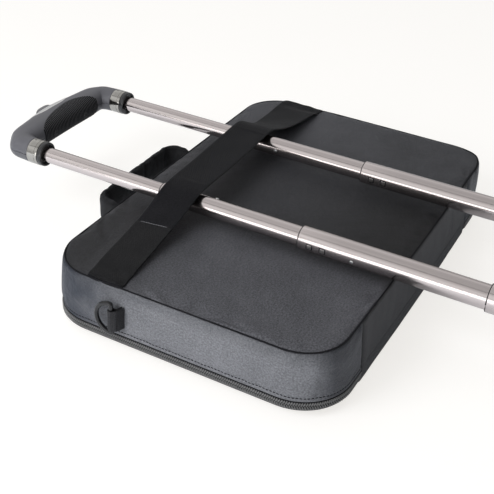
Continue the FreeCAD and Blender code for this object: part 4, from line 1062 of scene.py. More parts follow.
for i, of_ in enumerate(offs):
    uvl[of_:of_ + NBD, 0] = ring_len[:-1]; uvl[of_:of_ + NBD, 1] = -400 - i * 2.2
lid = add("front_cover_cloth", Vl, Fl, M_SIDE, "front_lid", ("front_panel", "lid_rim"), uv=uvl)
fix_normals(lid); solidify(lid, 0.9).use_even_offset = False; subsurf(lid)
lid.data.materials.append(M_LINING); lid.modifiers["solid"].material_offset = 1
for o_ in (gus, bot):
    o_.data.materials.append(M_LINING); o_.modifiers["solid"].material_offset = 1

# hinge cloth along the bottom edge, from the bottom panel to the lid
kb = list(range(col_seam[0], col_seam[1] + 1))
hr = []
src = {18.4: rows_off[len(shoulder) + levels.index(18.4)], 17.2: rows_off[len(shoulder) + levels.index(17.2)]}
hr.append(co[src[17.2] + np.array(kb)])
for z, o in ((15.6, 0.35), (14.0, 0.45), (12.4, 0.5), (10.8, 0.5), (9.2, 0.45), (7.6, 0.4), (6.0, 0.35), (4.6, 0.3), (3.3, 0.15), (2.2, -0.2), (1.4, -0.9), (0.9, -2.0), (0.75, -3.6)):
    hr.append(np.c_[zip_ring[kb] + zn_full[kb] * (o + 0.35 * vnoise(np.c_[ring_len[kb] / 30.0, np.full(len(kb), z / 6)], 44, 2) * (z > 1.5))[:, None] * 1.0, np.full(len(kb), z)])
Vh = np.vstack(hr); nh, nk = len(hr), len(kb)
UVh = np.stack([np.tile(ring_len[kb], nh), np.repeat(-60 - np.arange(nh) * 1.6, nk)], 1)
hin = add("lid_hinge_cloth", Vh, grid(nh, nk), M_BOTTOM, None, ("lid_hinge_strip",), uv=UVh)
fix_normals(hin)
me = hin.data
if sum(p.normal[1] for p in me.polygons) > 0:
    me.flip_normals()
solidify(hin, 0.9)
hs = hin.modifiers["solid"]
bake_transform(hin)
subsurf(hin)

# ------------------------------------------------------------------ padded linings


def pad(name, hx, hy, r, z0, z1, mat, body, reps, cell=7.0, cap=2.0, press=4.0, seed=0, edge=2.2, shrink=0.0):
    b_, r_, _, _ = side_polys(hx, hy, hy, r)
    lb = np.linalg.norm(np.diff(b_, axis=0), axis=1).sum(); lr_ = np.linalg.norm(np.diff(r_, axis=0), axis=1).sum()
    tu, tv = spaced(lb, 2.0, cell, 4), spaced(lr_, 2.0, cell, 4)
    global TU, TV, NU, NV
    keep_ = (TU, TV, NU, NV)
    TU, TV, NU, NV = tu, tv, len(tu), len(tv)
    zm = (z0 + z1) / 2
    top_ = coons(hx - edge, hy - edge, hy - edge, r - edge * 0.6).reshape(-1, 2)
    bi_ = np.array(border_index()); nb_ = len(bi_)
    ringm = ring_at(hx, hy, hy, r)
    TU, TV, NU, NV = keep_
    n1 = len(tu) * len(tv)
    e_ = np.zeros(n1)
    Vv = [np.c_[top_, np.full(n1, z1)], np.c_[ringm, np.full(nb_, zm)], np.c_[top_, np.full(n1, z0)]]
    Ff = grid(len(tv), len(tu))
    ro = np.arange(n1, n1 + nb_)
    bo = bi_ + n1 + nb_
    for c in range(nb_):
        c2 = (c + 1) % nb_
        Ff.append([int(bi_[c2]), int(bi_[c]), int(ro[c]), int(ro[c2])])
        Ff.append([int(ro[c2]), int(ro[c]), int(bo[c]), int(bo[c2])])
    Ff += [[i + n1 + nb_ for i in f[::-1]] for f in grid(len(tv), len(tu))]
    Vv = np.vstack(Vv)
    Vv[:n1, 2] += 0.12 * vnoise(top_ / 25.0, 50 + seed)
    UVv = Vv[:, :2].copy()
    ob = add(name, Vv, Ff, mat, body, reps, uv=UVv)
    fix_normals(ob)
    pn = np.full(len(Vv), 0.05); pn[ro] = 1.0
    if press:
        run_cloth(ob, pn, pressure=press, frames_n=12, shrink=shrink, cap=cap, tension=15.0, bend=0.5, quality=4)
    c_ = get_co(ob)
    subsurf(ob)
    return ob, c_


pad("back_foam_lining", 206.5, 133.0, 37.0, 61.6, 65.0, M_LINING, "case", ("back_foam",), cap=0.9, seed=1)
pad("front_foam_lining", 198.0, 127.5, 30.0, 3.4, 8.8, M_LINING, "front_lid", ("front_foam",), cap=1.2, seed=2)
dv, _ = pad("divider_pad", 195.0, 121.0, 23.5, 15.8, 18.9, M_LINING, "case", ("laptop_divider",), cap=1.0, seed=3)
# binding round the divider's edge
rg = ring_at(195.6, 121.6, 121.6, 24.0)
Pb = resample(np.c_[rg, np.full(len(rg), 17.35)], step=4.0, closed=True)
Vv, Ff, Uu = sweep(Pb, rsec(2.2, 3.6, 1.0, 3), (0, 0, 1), closed=True)
o_ = add("divider_binding", Vv, Ff, M_WEB, "case", uv=Uu); fix_normals(o_)

# ------------------------------------------------------------------ webbing


def strap_mesh(P, width, thick, side_dir, nw=20, dz=None, edge=0.35, u0=0.0):
    """Flat webbing along P. side_dir: direction across the strap. dz(s, w) extra lift along the surface normal."""
    P = np.asarray(P, float)
    T = np.gradient(P, axis=0); T /= np.linalg.norm(T, axis=1)[:, None]
    S = np.broadcast_to(np.asarray(side_dir, float), P.shape)
    S = S - T * (S * T).sum(1)[:, None]; S /= np.linalg.norm(S, axis=1)[:, None]
    Nn = np.cross(S, T); Nn /= np.linalg.norm(Nn, axis=1)[:, None]
    w = np.linspace(-0.5, 0.5, nw)
    L = np.r_[0, np.cumsum(np.linalg.norm(np.diff(P, axis=0), axis=1))] + u0
    h = thick / 2
    sec = []
    for x in w:
        e = min(1.0, (0.5 - abs(x)) * width / edge)
        sec.append((x * width, h * (0.35 + 0.65 * math.sqrt(max(0, 1 - (1 - e) ** 2)))))
    loop = [(a, b) for a, b in sec] + [(a, -b) for a, b in sec[::-1]]
    m = len(loop); n = len(P)
    Vv = np.zeros((n * m, 3)); Uv = np.zeros((n * m, 2))
    for i in range(n):
        for j, (a, b) in enumerate(loop):
            ex = dz(L[i], a / width) if dz else 0.0
            Vv[i * m + j] = P[i] + S[i] * a + Nn[i] * (b + ex)
            Uv[i * m + j] = (L[i], a + (200 if b < 0 else 0))
    Ff = grid(n, m, closed_c=True)
    Ff.append(list(range(m))); Ff.append(list(range((n - 1) * m, n * m))[::-1])
    return Vv, Ff, Uv


def fillet_path(P, R_, step=2.0):
    """Polyline in any plane with rounded corners, evenly sampled."""
    P = [np.asarray(p, float) for p in P]
    out = [P[0]]
    for i in range(1, len(P) - 1):
        r = R_[i] if isinstance(R_, (list, tuple)) else R_
        a = P[i - 1] - P[i]; b = P[i + 1] - P[i]
        la, lb = np.linalg.norm(a), np.linalg.norm(b); a /= la; b /= lb
        ang_ = math.acos(max(-1, min(1, float(a @ b))))
        t = min(r / math.tan(ang_ / 2), la * 0.49, lb * 0.49); r = t * math.tan(ang_ / 2)
        bis = (a + b) / np.linalg.norm(a + b)
        c = P[i] + bis * (r / math.sin(ang_ / 2))
        p0 = P[i] + a * t; p1 = P[i] + b * t
        v0, v1 = p0 - c, p1 - c
        th = math.acos(max(-1, min(1, float(v0 @ v1) / (r * r))))
        for k in range(9):
            f = k / 8
            out.append(c + (math.sin((1 - f) * th) * v0 + math.sin(f * th) * v1) / math.sin(th))
    out.append(P[-1])
    return resample(out, step=step)


# strap over the tubes: two edge lines, the strap is the sheet between them
sx_ = [-210.3, -207.7, -204, -190, -165, -145, -125, -104, -90, -82, -74, -60, -30, 0, 30, 60, 74, 82, 90, 104, 125, 150, 170, 190, 207, 211.0, 213.4]
zL = [66.4, 68.6, 69.7, 69.6, 70.2, 72.2, 76.5, 84.3, 91.0, 94.9, 96.5, 96.9, 96.5, 96.3, 96.5, 96.9, 96.9, 95.6, 91.5, 82.5, 73.6, 70.4, 69.8, 69.7, 69.7, 68.4, 66.4]
zR = [66.4, 68.6, 69.9, 70.6, 72.6, 75.8, 80.5, 86.6, 91.8, 95.2, 96.6, 96.9, 96.4, 96.2, 96.4, 96.9, 96.8, 95.6, 92.2, 87.2, 81.6, 77.0, 74.6, 72.0, 70.0, 68.6, 66.4]
yL = np.interp(sx_, [-210.5, -204, -190, -165, -145, -125, -104, -74, -30, 0, 74, 104, 125, 150, 198, 214], [94.0, 93.4, 95.0, 97.8, 99.0, 98.6, 97.6, 96.0, 97.4, 99.0, 102.0, 104.0, 106.0, 107.8, 110.0, 110.5])
yR = np.interp(sx_, [-210.5, -190, -165, -145, -104, -74, 0, 74, 110, 214], [55.8, 56.6, 58.4, 58.8, 58.0, 56.8, 57.4, 60.4, 60.6, 59.0])


def smooth_line(A, n=240, it=14):
    A = resample(A, n=n)
    for _ in range(it):
        A[1:-1] = 0.25 * A[:-2] + 0.5 * A[1:-1] + 0.25 * A[2:]
    return A


EL = smooth_line(np.c_[sx_, yL, zL]); ER = smooth_line(np.c_[sx_, yR, zR])
xs_ = np.interp(np.linspace(0, 1, 240), np.linspace(0, 1, 240), EL[:, 0])


def at_x(E, x):
    return np.stack([x, np.interp(x, E[:, 0], E[:, 1]), np.interp(x, E[:, 0], E[:, 2])], 1)


XL = smooth_line(np.c_[sx_, yL * 0, zL])[:, 0]
LL, RR = at_x(EL, XL), at_x(ER, XL)
bvp = bvh_of(back)
ZTOP = np.maximum(0, np.abs(np.abs(XL) - TX))


def strap_sheet(name, x0, x1, thick, lift, mat, inset=0.0, reps=(), uv0=0.0):
    m_ = (XL >= x0) & (XL <= x1)
    A, B = LL[m_], RR[m_]
    n_ = len(A); nw = 25
    w = np.linspace(0, 1, nw)
    M_ = (A + B) / 2
    T = np.gradient(M_, axis=0); T /= np.linalg.norm(T, axis=1)[:, None]
    W = B - A; Wl = np.linalg.norm(W, axis=1)[:, None]; Wn = W / Wl
    Nn = np.cross(Wn, T); Nn /= np.linalg.norm(Nn, axis=1)[:, None]
    Nn *= np.sign(Nn[:, 2:3] + 1e-9)
    L = np.r_[0, np.cumsum(np.linalg.norm(np.diff(M_, axis=0), axis=1))] + uv0
    loop = []
    for k in w:
        e = min(1.0, min(k, 1 - k) * 43.0 / 0.5)
        loop.append((k, thick / 2 * (0.3 + 0.7 * math.sqrt(max(0, 1 - (1 - e) ** 2)))))
    loop = loop + [(k, -h) for k, h in loop[::-1]]
    m2 = len(loop)
    Vv = np.zeros((n_ * m2, 3)); Uv = np.zeros((n_ * m2, 2))
    for i in range(n_):
        x = M_[i, 0]
        for j, (k, h) in enumerate(loop):
            kk = inset / Wl[i, 0] + k * (1 - 2 * inset / Wl[i, 0])
            free = min(1.0, abs(abs(x) - TX) / 20.0) * (0.35 if abs(x) < 66 else 1.0)
            wob = 0.18 * math.sin(x / 17.0 + k * 3.0) + 0.12 * math.sin(x / 7.3 - k * 5.0)
            cup = -0.5 * (1 - (2 * k - 1) ** 2) * (1 if abs(x) < 62 else 0.0)
            edge_ = 0.16 * math.exp(-(min(kk, 1 - kk) * 43 - 1.2) ** 2 / 0.8)
            b0 = A[i] * (1 - kk) + B[i] * kk
            if abs(x) > 183:
                hp_, _ = hit(bvp, (b0[0], b0[1], 120.0), (0, 0, -1))
                zs_ = (hp_[2] + 0.75) if hp_ is not None else 64.4
                f_ = smoothstep(183, 198, abs(x)); b0[2] = b0[2] * (1 - f_) + zs_ * f_
            Vv[i * m2 + j] = b0 + Nn[i] * (h + lift + wob * free * (0.3 if abs(x) > 190 else 1.0) + cup + (edge_ if h > 0 else 0))
            Uv[i * m2 + j] = (L[i], kk * 43.0 + (200 if h < 0 else 0))
    Ff = grid(n_, m2, closed_c=True)
    Ff.append(list(range(m2))); Ff.append(list(range((n_ - 1) * m2, n_ * m2))[::-1])
    ob = add(name, Vv, Ff, mat, "case", reps, uv=Uv); fix_normals(ob); subsurf(ob)
    return ob


strap_ob = strap_sheet("trolley_strap_web", -215, 215, 1.5, 0.0, M_WEB, reps=("trolley_strap",))
strap_end = strap_sheet("trolley_strap_end_near", -208.9, -123.5, 0.7, 0.85, M_WEB2, inset=0.15, uv0=31.0)
bvs = bvh_of(strap_ob); bvs1 = bvh_of(strap_end)


def drop(xs, ys, bv, z0=120):
    P_, N_ = [], []
    for x, y in zip(xs, ys):
        p, n_ = hit(bv, (x, y, z0), (0, 0, -1))
        if p is not None:
            P_.append(p); N_.append(n_ if n_[2] > 0 else -n_)
    return P_, N_


for i, (x_s, mat_, rr_, bv_) in enumerate(((-125.0, M_THREAD_L, 0.32, bvs1), (-129.5, M_THREAD, 0.3, bvs1), (-203.5, M_THREAD, 0.3, bvs1), (206.5, M_THREAD, 0.3, bvs))):
    y0_, y1_ = float(np.interp(x_s, XL, RR[:, 1])), float(np.interp(x_s, XL, LL[:, 1]))
    ys = np.arange(y0_ + 1.6, y1_ - 1.2, 2.7)
    P_, N_ = drop(np.full(len(ys), x_s), ys, bv_)
    row_stitches("strap_stitch_%d" % i, P_, N_, mat_, "case", length=2.0, r=rr_, sink=0.1)

# ring tabs and D-rings
for sgn, nm_ in ((-1, "left"), (1, "right")):
    rx, ry, rz = sgn * RING_X_, RING_Y_, RING_Z_
    th = 1.3; rc = RING_ROD_ + 0.25 + th / 2
    pth = []
    sh_ = NEAR if sgn < 0 else 0.0
    pth.append((sgn * (211.8 - sh_), 53.0)); pth.append((sgn * (214.9 - sh_ * 0.8), 54.2)); pth.append((sgn * (217.6 - sh_ * 0.4), 55.4)); pth.append((sgn * 220.4, 57.2))
    for k in range(0, 15):
        a = math.radians(-62 + k * (250) / 14)   # from the outer lower side round the +Y side to the inner side
        pth.append((rx + sgn * rc * math.cos(a), ry + rc * math.sin(a)))
    pth.append((sgn * 216.6, 59.2)); pth.append((sgn * (216.2 - sh_ * 0.4), 57.6)); pth.append((sgn * (214.4 - sh_ * 0.8), 56.4)); pth.append((sgn * (211.8 - sh_), 55.7))
    P2 = resample(np.array(pth), step=0.7)
    for _ in range(3):
        P2[1:-1] = 0.25 * P2[:-2] + 0.5 * P2[1:-1] + 0.25 * P2[2:]
    tz = (TAB_LO[2] + TAB_HI[2]) / 2
    P3 = np.c_[P2, np.full(len(P2), tz)]
    hw_ = TAB_HI[2] - TAB_LO[2] - 0.5
    Vv, Ff, Uu = strap_mesh(P3, hw_, th, (0, 0, 1), nw=18, edge=0.6, u0=0,
                            dz=lambda s, w: 0.12 * math.sin(s * 1.1 + w * 5))
    # the ends of the loop are rounded in slightly at the bar
    cz = Vv[:, 2] - tz
    wr = np.exp(-(((Vv[:, 0] - rx) / 4.0) ** 2 + ((Vv[:, 1] - ry - 1) / 5.0) ** 2))
    Vv[:, 2] -= np.sign(cz) * 0.9 * wr * (np.abs(cz) > 9) * ((np.abs(cz) - 9) / 3.7)
    o_ = add("ring_tab_%s" % nm_, Vv, Ff, M_TAB, "case", ("ring_tabs",) if sgn < 0 else (), uv=Uu); fix_normals(o_); subsurf(o_)
    bvt = bvh_of(o_)
    for j, yy in enumerate((56.6,)):
        P_, N_ = [], []
        for zz_ in np.arange(tz - 10, tz + 10.1, 2.5):
            p, n_ = hit(bvt, (sgn * 235, yy, zz_), (-sgn, 0, 0))
            if p is not None:
                P_.append(p); N_.append(n_ if n_[0] * sgn > 0 else -n_)
        if len(P_) > 3:
            row_stitches("ring_tab_stitch_%s_%d" % (nm_, j), P_, N_, M_THREAD, "case", length=1.8, r=0.28, sink=0.08)
    # D-ring
    pts = [(ry, rz - 16.0 + 32.0 * k / 24) for k in range(25)] + [(ry + 16 * math.sin(math.pi * k / 40), rz + 16 * math.cos(math.pi * k / 40)) for k in range(1, 40)]
    Pd = resample(np.array([(rx, a, b) for a, b in pts]), n=120, closed=True)
    for _ in range(10):
        Pd = 0.25 * np.roll(Pd, 1, 0) + 0.5 * Pd + 0.25 * np.roll(Pd, -1, 0)
    sec = [(RING_ROD_ * math.cos(2 * math.pi * k / 20), RING_ROD_ * math.sin(2 * math.pi * k / 20)) for k in range(20)]
    Vv, Ff, Uu = sweep(Pd, sec, (1, 0, 0), closed=True)
    o_ = add("d_ring_loop_%s" % nm_, Vv, Ff, M_DRING, "d_ring_" + nm_, ("d_ring_" + nm_,), uv=Uu); fix_normals(o_)

# laptop strap
Pl = fillet_path([(0, 101, 59.6), (0, 127.4, 59.6), (0, 127.4, 20.4), (0, 91, 20.4)], 4.0, step=1.5)
Vv, Ff, Uu = strap_mesh(Pl, 37.6, 1.4, (1, 0, 0), nw=18)
o_ = add("laptop_strap_web", Vv, Ff, M_WEB, "case", ("laptop_strap",), uv=Uu); fix_normals(o_); subsurf(o_)

# ------------------------------------------------------------------ carry handle
HX, HZ = 71.0, (HAND_LO[2] + HAND_HI[2]) / 2
HT = HAND_HI[1]
cy = HT - 5.6
Ph = fillet_path([(-HX, 140.5, HZ), (-HX + 1.5, 156.0, HZ), (-HX + 2.5, cy, HZ), (HX - 2.5, cy, HZ), (HX - 1.5, 156.0, HZ), (HX, 140.5, HZ)], [0, 20, 35, 35, 20, 0], step=2.2)
nS = 28
n = len(Ph)
Lh = np.r_[0, np.cumsum(np.linalg.norm(np.diff(Ph, axis=0), axis=1))]
T, S, U = frames(Ph, (0, 0, 1))
Vv = np.zeros((n * nS, 3)); Uu = np.zeros((n * nS, 2))
for i in range(n):
    e = min(Lh[i], Lh[-1] - Lh[i])
    g = smoothstep(7.0, 26.0, e)
    a = 1.5 + 2.3 * g            # half thickness
    b = 8.0 + 6.6 * g            # half height
    for j in range(nS):
        t = 2 * math.pi * j / nS
        ct, st = math.cos(t), math.sin(t)
        pa = a * math.copysign(abs(ct) ** 0.75, ct); pb = b * math.copysign(abs(st) ** 0.55, st)
        Vv[i * nS + j] = Ph[i] + S[i] * pa + U[i] * pb
        Uu[i * nS + j] = (Lh[i], b * t)
Ff = grid(n, nS, closed_c=True); Ff.append(list(range(nS))); Ff.append(list(range((n - 1) * nS, n * nS))[::-1])
hd = add("carry_handle_pad", Vv, Ff, M_HANDLE, None, ("carry_handle", "handle_anchors"), uv=Uu)
fix_normals(hd)
pn = np.full(len(Vv), 0.02)
for i in range(n):
    e = min(Lh[i], Lh[-1] - Lh[i])
    if e < 14:
        pn[i * nS:(i + 1) * nS] = 1.0
    for j in (nS // 4, 3 * nS // 4):
        pn[i * nS + j] = max(pn[i * nS + j], 0.4)
run_cloth(hd, pn, pressure=5.0, frames_n=16, shrink=-0.03, cap=1.2, tension=10.0, bend=0.2, quality=5)
ch = get_co(hd)
inner = np.zeros(len(ch)); sarc = np.repeat(Lh, nS)
ctr = np.repeat(Ph, nS, axis=0); dirv = ch - ctr; dirn = dirv / np.maximum(np.linalg.norm(dirv, axis=1), 1e-6)[:, None]
inn = (ctr - ch) @ np.array([0, 0, 0]) if False else -(dirn * np.repeat(S, nS, axis=0)).sum(1)
zrel = dirv[:, 2]
bend_w = np.exp(-((sarc - 62) / 26.0) ** 2) + np.exp(-((sarc - (Lh[-1] - 62)) / 26.0) ** 2)
cr = np.maximum(0, np.sin(sarc / 6.3 + 0.8 * vnoise(np.c_[sarc / 9, zrel / 12], 61))) ** 3
wr = -(0.35 + 0.9 * bend_w) * cr + 0.5 * vnoise(np.c_[sarc / 7.0, zrel / 16.0], 62, 2)
grow = smoothstep(12, 30, np.minimum(sarc, Lh[-1] - sarc))
ch += dirn * (wr * grow * np.abs((dirn * np.repeat(S, nS, axis=0)).sum(1)) ** 0.5)[:, None]
ch[:, 1] = np.minimum(ch[:, 1], HT + 0.3)
hd.data.vertices.foreach_set("co", (ch * MM).ravel()); hd.data.update()
bvhd = None
# edge stitching along both faces
dg = bpy.context.evaluated_depsgraph_get()
st_objs = []
bvd = bvh_of(hd)
for sg in (-1, 1):
    for zo in (-11.6, 11.6):
        P_, N_ = [], []
        for s_ in np.arange(20, Lh[-1] - 20, 3.2):
            c_ = np.array([np.interp(s_, Lh, Ph[:, k]) for k in range(3)]); sd = np.array([np.interp(s_, Lh, S[:, k]) for k in range(3)]); sd /= np.linalg.norm(sd)
            o0 = c_ + sd * sg * 14; o0[2] += zo
            p, n_ = hit(bvd, o0, tuple(-sd * sg))
            if p is not None:
                P_.append(p); N_.append(sd * sg)
        s_ob = row_stitches("handle_stitch_%s_%s" % ("in" if sg < 0 else "out", "low" if zo < 0 else "high"), P_, N_, M_THREAD, None, length=2.1, r=0.3, sink=0.1)
        st_objs.append(s_ob)
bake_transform(hd)
subsurf(hd)
for s_ob in st_objs:
    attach(s_ob, "carry_handle")

# ------------------------------------------------------------------ tubes
TUBES = {"upper_tube": ("upper_stage", 8.0, 7.0), "middle_tube": ("middle_stage", 9.5, 8.75),
         "lower_tube": ("lower_stage", 11.3, 10.55), "outer_tube": ("trolley_base", 13.0, 12.25)}
for nm_, (bd_, ro_, ri_) in TUBES.items():
    for side, sg in (("left", -1), ("right", 1)):
        node = "%s_%s" % (nm_, side)
        lo_, hi_ = nbox(node); y0, y1 = lo_[1], hi_[1]
        prof = [(ri_, y0), (ro_ - 0.15, y0), (ro_, y0 + 0.15)]
        for t in np.linspace(0, 1, 7)[1:-1]:
            prof.append((ro_, y0 + (y1 - y0 - 0.5) * t))
        prof += [(ro_, y1 - 0.42), (ro_ - 0.08, y1 - 0.15), (ro_ - 0.25, y1 - 0.02), (ri_ + 0.05, y1), (ri_, y1 - 0.1)]
        for t in np.linspace(1, 0, 4)[1:-1]:
            prof.append((ri_, y0 + (y1 - y0) * t))
        Vv, Ff, Uu = lathe(sg * TX, TZ, prof, 96)
        o_ = add(node + "_skin", Vv, Ff, M_TUBE, bd_, (node,), uv=Uu); fix_normals(o_)
        em = o_.modifiers.new("es", "EDGE_SPLIT"); em.split_angle = math.radians(40)

# lock pins
for nm_, bd_ in (("middle_lock_pin_left", "middle_pin_left"), ("middle_lock_pin_right", "middle_pin_right"),
                 ("lower_lock_pin_left", "lower_pin_left"), ("lower_lock_pin_right", "lower_pin_right")):
    lo_, hi_ = nbox(nm_); c = (lo_ + hi_) / 2
    sg = -1 if c[0] < 0 else 1
    az = math.atan2(c[2] - TZ, c[0] - sg * TX)
    rt = 9.5 if "middle" in nm_ else 11.3
    ex = np.array([math.cos(az), 0, math.sin(az)]); ey = np.array([0, 1.0, 0]); ez = np.cross(ex, ey)
    prof = [(0.0, rt - 0.6), (1.9, rt - 0.6), (1.9, rt + 0.2), (1.8, rt + 0.55), (1.45, rt + 0.85), (0.8, rt + 1.02), (0.0, rt + 1.05)]
    n_ = 28; Vv = []
    for r, h in prof:
        for k in range(n_):
            a = 2 * math.pi * k / n_
            Vv.append(np.array([sg * TX, c[1], TZ]) + ex * h + (ey * math.cos(a) + ez * math.sin(a)) * max(r, 0.01))
    Ff = grid(len(prof), n_, closed_c=True); Ff.append(list(range(n_))); Ff.append(list(range((len(prof) - 1) * n_, len(prof) * n_))[::-1])
    o_ = add(nm_ + "_head", Vv, Ff, M_PIN, bd_, (nm_,)); fix_normals(o_)
    # dark rim of the hole on the tube
    stage_ = "middle_stage" if "middle" in nm_ else "lower_stage"
    Vv = []
    for r, h in ((1.92, rt - 0.1), (1.92, rt + 0.05), (2.3, rt + 0.05), (2.4, rt - 0.25)):
        for k in range(n_):
            a = 2 * math.pi * k / n_
            q = (ey * math.cos(a) + ez * math.sin(a)) * r
            lat = q @ ez
            Vv.append(np.array([sg * TX, c[1], TZ]) + ex * (math.sqrt((h) ** 2 - lat ** 2)) + q)
    o_ = add(nm_ + "_rim", Vv, grid(4, n_, closed_c=True, closed_r=True), M_BLACK, stage_); fix_normals(o_)

# square pegs of the lower stage: dark seat and bright tile
PEG_Y = (-61.5, -74.5)
for sg, side in ((-1, "left"), (1, "right")):
    for j, py in enumerate(PEG_Y):
        for kind, half, r0, rr0, mat_, bd_, sl_ in (("seat", 3.15, 11.30, 11.38, M_THREAD, "lower_stage", "black_plastic"), ("tile", 2.2, 11.36, 11.66, M_PEG, "lower_stage", "black_plastic")):
            m = 10; az = math.radians(185)
            def sq(k, nn_, hf):
                a = 2 * math.pi * k / nn_
                e = 0.26
                return hf * math.copysign(abs(math.cos(a)) ** e, math.cos(a)), hf * math.copysign(abs(math.sin(a)) ** e, math.sin(a))
            Vv = []; n_ = 40
            for hf, rad in ((half, r0 - 0.4), (half, rr0 - 0.05), (half - 0.15, rr0), (half * 0.5, rr0), (0.02, rr0)):
                for k in range(n_):
                    yy, lat = sq(k, n_, hf)
                    a = az + lat / 11.3
                    Vv.append((sg * TX + rad * math.cos(a), py + yy, TZ + rad * math.sin(a)))
            Ff = grid(5, n_, closed_c=True); Ff.append(list(range(n_))); Ff.append(list(range(4 * n_, 5 * n_))[::-1])
            o_ = add("peg_%s_%s_%d" % (kind, side, j), Vv, Ff, mat_, bd_); fix_normals(o_)

# ------------------------------------------------------------------ grip
def outline_round(pts, seg=14):
    out = []
    m = len(pts)
    for i, (x, y, r) in enumerate(pts):
        p = np.array([x, y]); a = np.array(pts[i - 1][:2]) - p; b = np.array(pts[(i + 1) % m][:2]) - p
        if r <= 0 or i in (0, m - 1):
            out.append(p); continue
        a /= np.linalg.norm(a); b /= np.linalg.norm(b)
        th = math.acos(float(a @ b)); t = r / math.tan(th / 2)
        bis = (a + b) / np.linalg.norm(a + b); c = p + bis * (r / math.sin(th / 2))
        v0 = p + a * t - c; v1 = p + b * t - c; w_ = math.acos(max(-1, min(1, float(v0 @ v1) / r / r)))
        for k in range(seg + 1):
            f = k / seg
            out.append(c + (math.sin((1 - f) * w_) * v0 + math.sin(f * w_) * v1) / math.sin(w_))
    return np.array(out)


GX = 87.1; GY0, GYR = 268.5, nbox("chrome_rings")[1][1] + 0.1
outer_o = outline_round([(-TX - 12.85, GYR, 0), (-GX + 1.6, 268.5, 24.0), (-GX + 2.0, 283.0, 14.0), (-66, 296.2, 26), (0, 305.4, 120), (66, 296.2, 26), (GX - 2.0, 283.0, 14.0), (GX - 1.6, 268.5, 24.0), (TX + 12.85, GYR, 0)])
outer_o = resample(outer_o, step=1.5)
inner_o = outline_round([(-TX + 12.9, GYR, 0), (-58.5, 268.7, 3.0), (-40, GY0, 30), (40, GY0, 30), (58.5, 268.7, 3.0), (TX - 12.9, GYR, 0)])
# pair the two outlines: a fan round each inner corner, then straight across
Lo = np.r_[0, np.cumsum(np.linalg.norm(np.diff(outer_o, axis=0), axis=1))]
xo_fan = 54.0
s_fan = float(np.interp(-xo_fan, outer_o[:len(outer_o) // 2 + 1, 0][np.argmax(outer_o[:, 0] > -GX + 0.5):], Lo[:len(outer_o) // 2 + 1][np.argmax(outer_o[:, 0] > -GX + 0.5):]))
ribs = []
nf_ = 34
corner = np.array([-58.2, 268.7])
start_in = np.array([-TX + 12.85, GYR])
for k in range(nf_):
    f = k / nf_
    o2 = np.array([np.interp(s_fan * f, Lo, outer_o[:, 0]), np.interp(s_fan * f, Lo, outer_o[:, 1])])
    i2 = start_in + (corner - start_in) * smoothstep(0, 0.55, f) + np.array([corner[0] * 0, 0]) + np.array([(-54.0 - corner[0]) * smoothstep(0.5, 1.0, f), (GY0 - corner[1]) * smoothstep(0.5, 1.0, f)])
    ribs.append((i2, o2))
for x in np.linspace(-xo_fan, xo_fan, 90):
    yo = float(np.interp(x, outer_o[:, 0][Lo > s_fan * 0.8], outer_o[:, 1][Lo > s_fan * 0.8])) if x <= 0 else 0
    half_mask = (outer_o[:, 1] > 290)
    yo = float(np.interp(x, outer_o[half_mask, 0], outer_o[half_mask, 1]))
    ribs.append((np.array([x, GY0]), np.array([x, yo])))
mir = [(np.array([-i[0], i[1]]), np.array([-o[0], o[1]])) for i, o in ribs[:nf_]][::-1]
ribs += mir
nr_ = len(ribs)
expo = []
for k in range(nr_):
    f = min(k, nr_ - 1 - k) / nf_
    expo.append(2.0 + 0.55 * smoothstep(0.1, 1.0, min(1, f)))


def grip_point(i_, o_, n_, th_, hgt_):
    c = (i_ + o_) / 2; h = (o_ - i_) / 2
    ct, st = math.cos(th_), math.sin(th_)
    q = math.copysign(abs(ct) ** (2 / n_), ct)
    xy = c + h * q
    return (xy[0], xy[1], TZ + hgt_ * math.copysign(abs(st) ** (2 / n_), st))


def hgt_at(k):
    f = min(k, nr_ - 1 - k) / nf_
    return 12.9 - 0.5 * math.sin(math.pi * min(1, f)) ** 2


for half_, nm_, node in ((1, "grip_shell_upper", "grip_top_shell"), (-1, "grip_shell_lower", "grip_bottom_shell")):
    ths = [0.012, 0.03, 0.07, 0.14] + list(np.linspace(0.24, math.pi - 0.24, 34)) + [math.pi - 0.14, math.pi - 0.07, math.pi - 0.03, math.pi - 0.012]
    Vv = []; Uu = []
    m = len(ths) + 2
    for k, (i_, o_) in enumerate(ribs):
        row = [grip_point(i_, o_, expo[k], t * half_, hgt_at(k)) for t in ths]
        d_ = (o_ - i_) / np.linalg.norm(o_ - i_)
        a0, a1 = np.array(row[0]), np.array(row[-1])
        r0 = a0 - np.array([d_[0], d_[1], 0]) * 0.9; r0[2] = TZ + half_ * 0.12; a0[2] = TZ + half_ * 0.22
        r1 = a1 + np.array([d_[0], d_[1], 0]) * 0.9; r1[2] = TZ + half_ * 0.12; a1[2] = TZ + half_ * 0.22
        row[0], row[-1] = tuple(a0), tuple(a1)
        Vv += [tuple(r0)] + row + [tuple(r1)]
    Ff = grid(nr_, m)
    o_ = add(nm_, Vv, Ff, M_GRIP, "upper_stage", (node,)); fix_normals(o_)
    if sum(p.normal[2] * p.area for p in o_.data.polygons) * half_ < 0:
        o_.data.flip_normals()
    solidify(o_, 1.6); subsurf(o_)

# ribbed pad on the inner side of the bar
px0, px1 = -45.0, 50.0
cxp, hxp = (px0 + px1) / 2, (px1 - px0) / 2
nu_, nv_ = 380, 44
half_mask = (outer_o[:, 1] > 290)


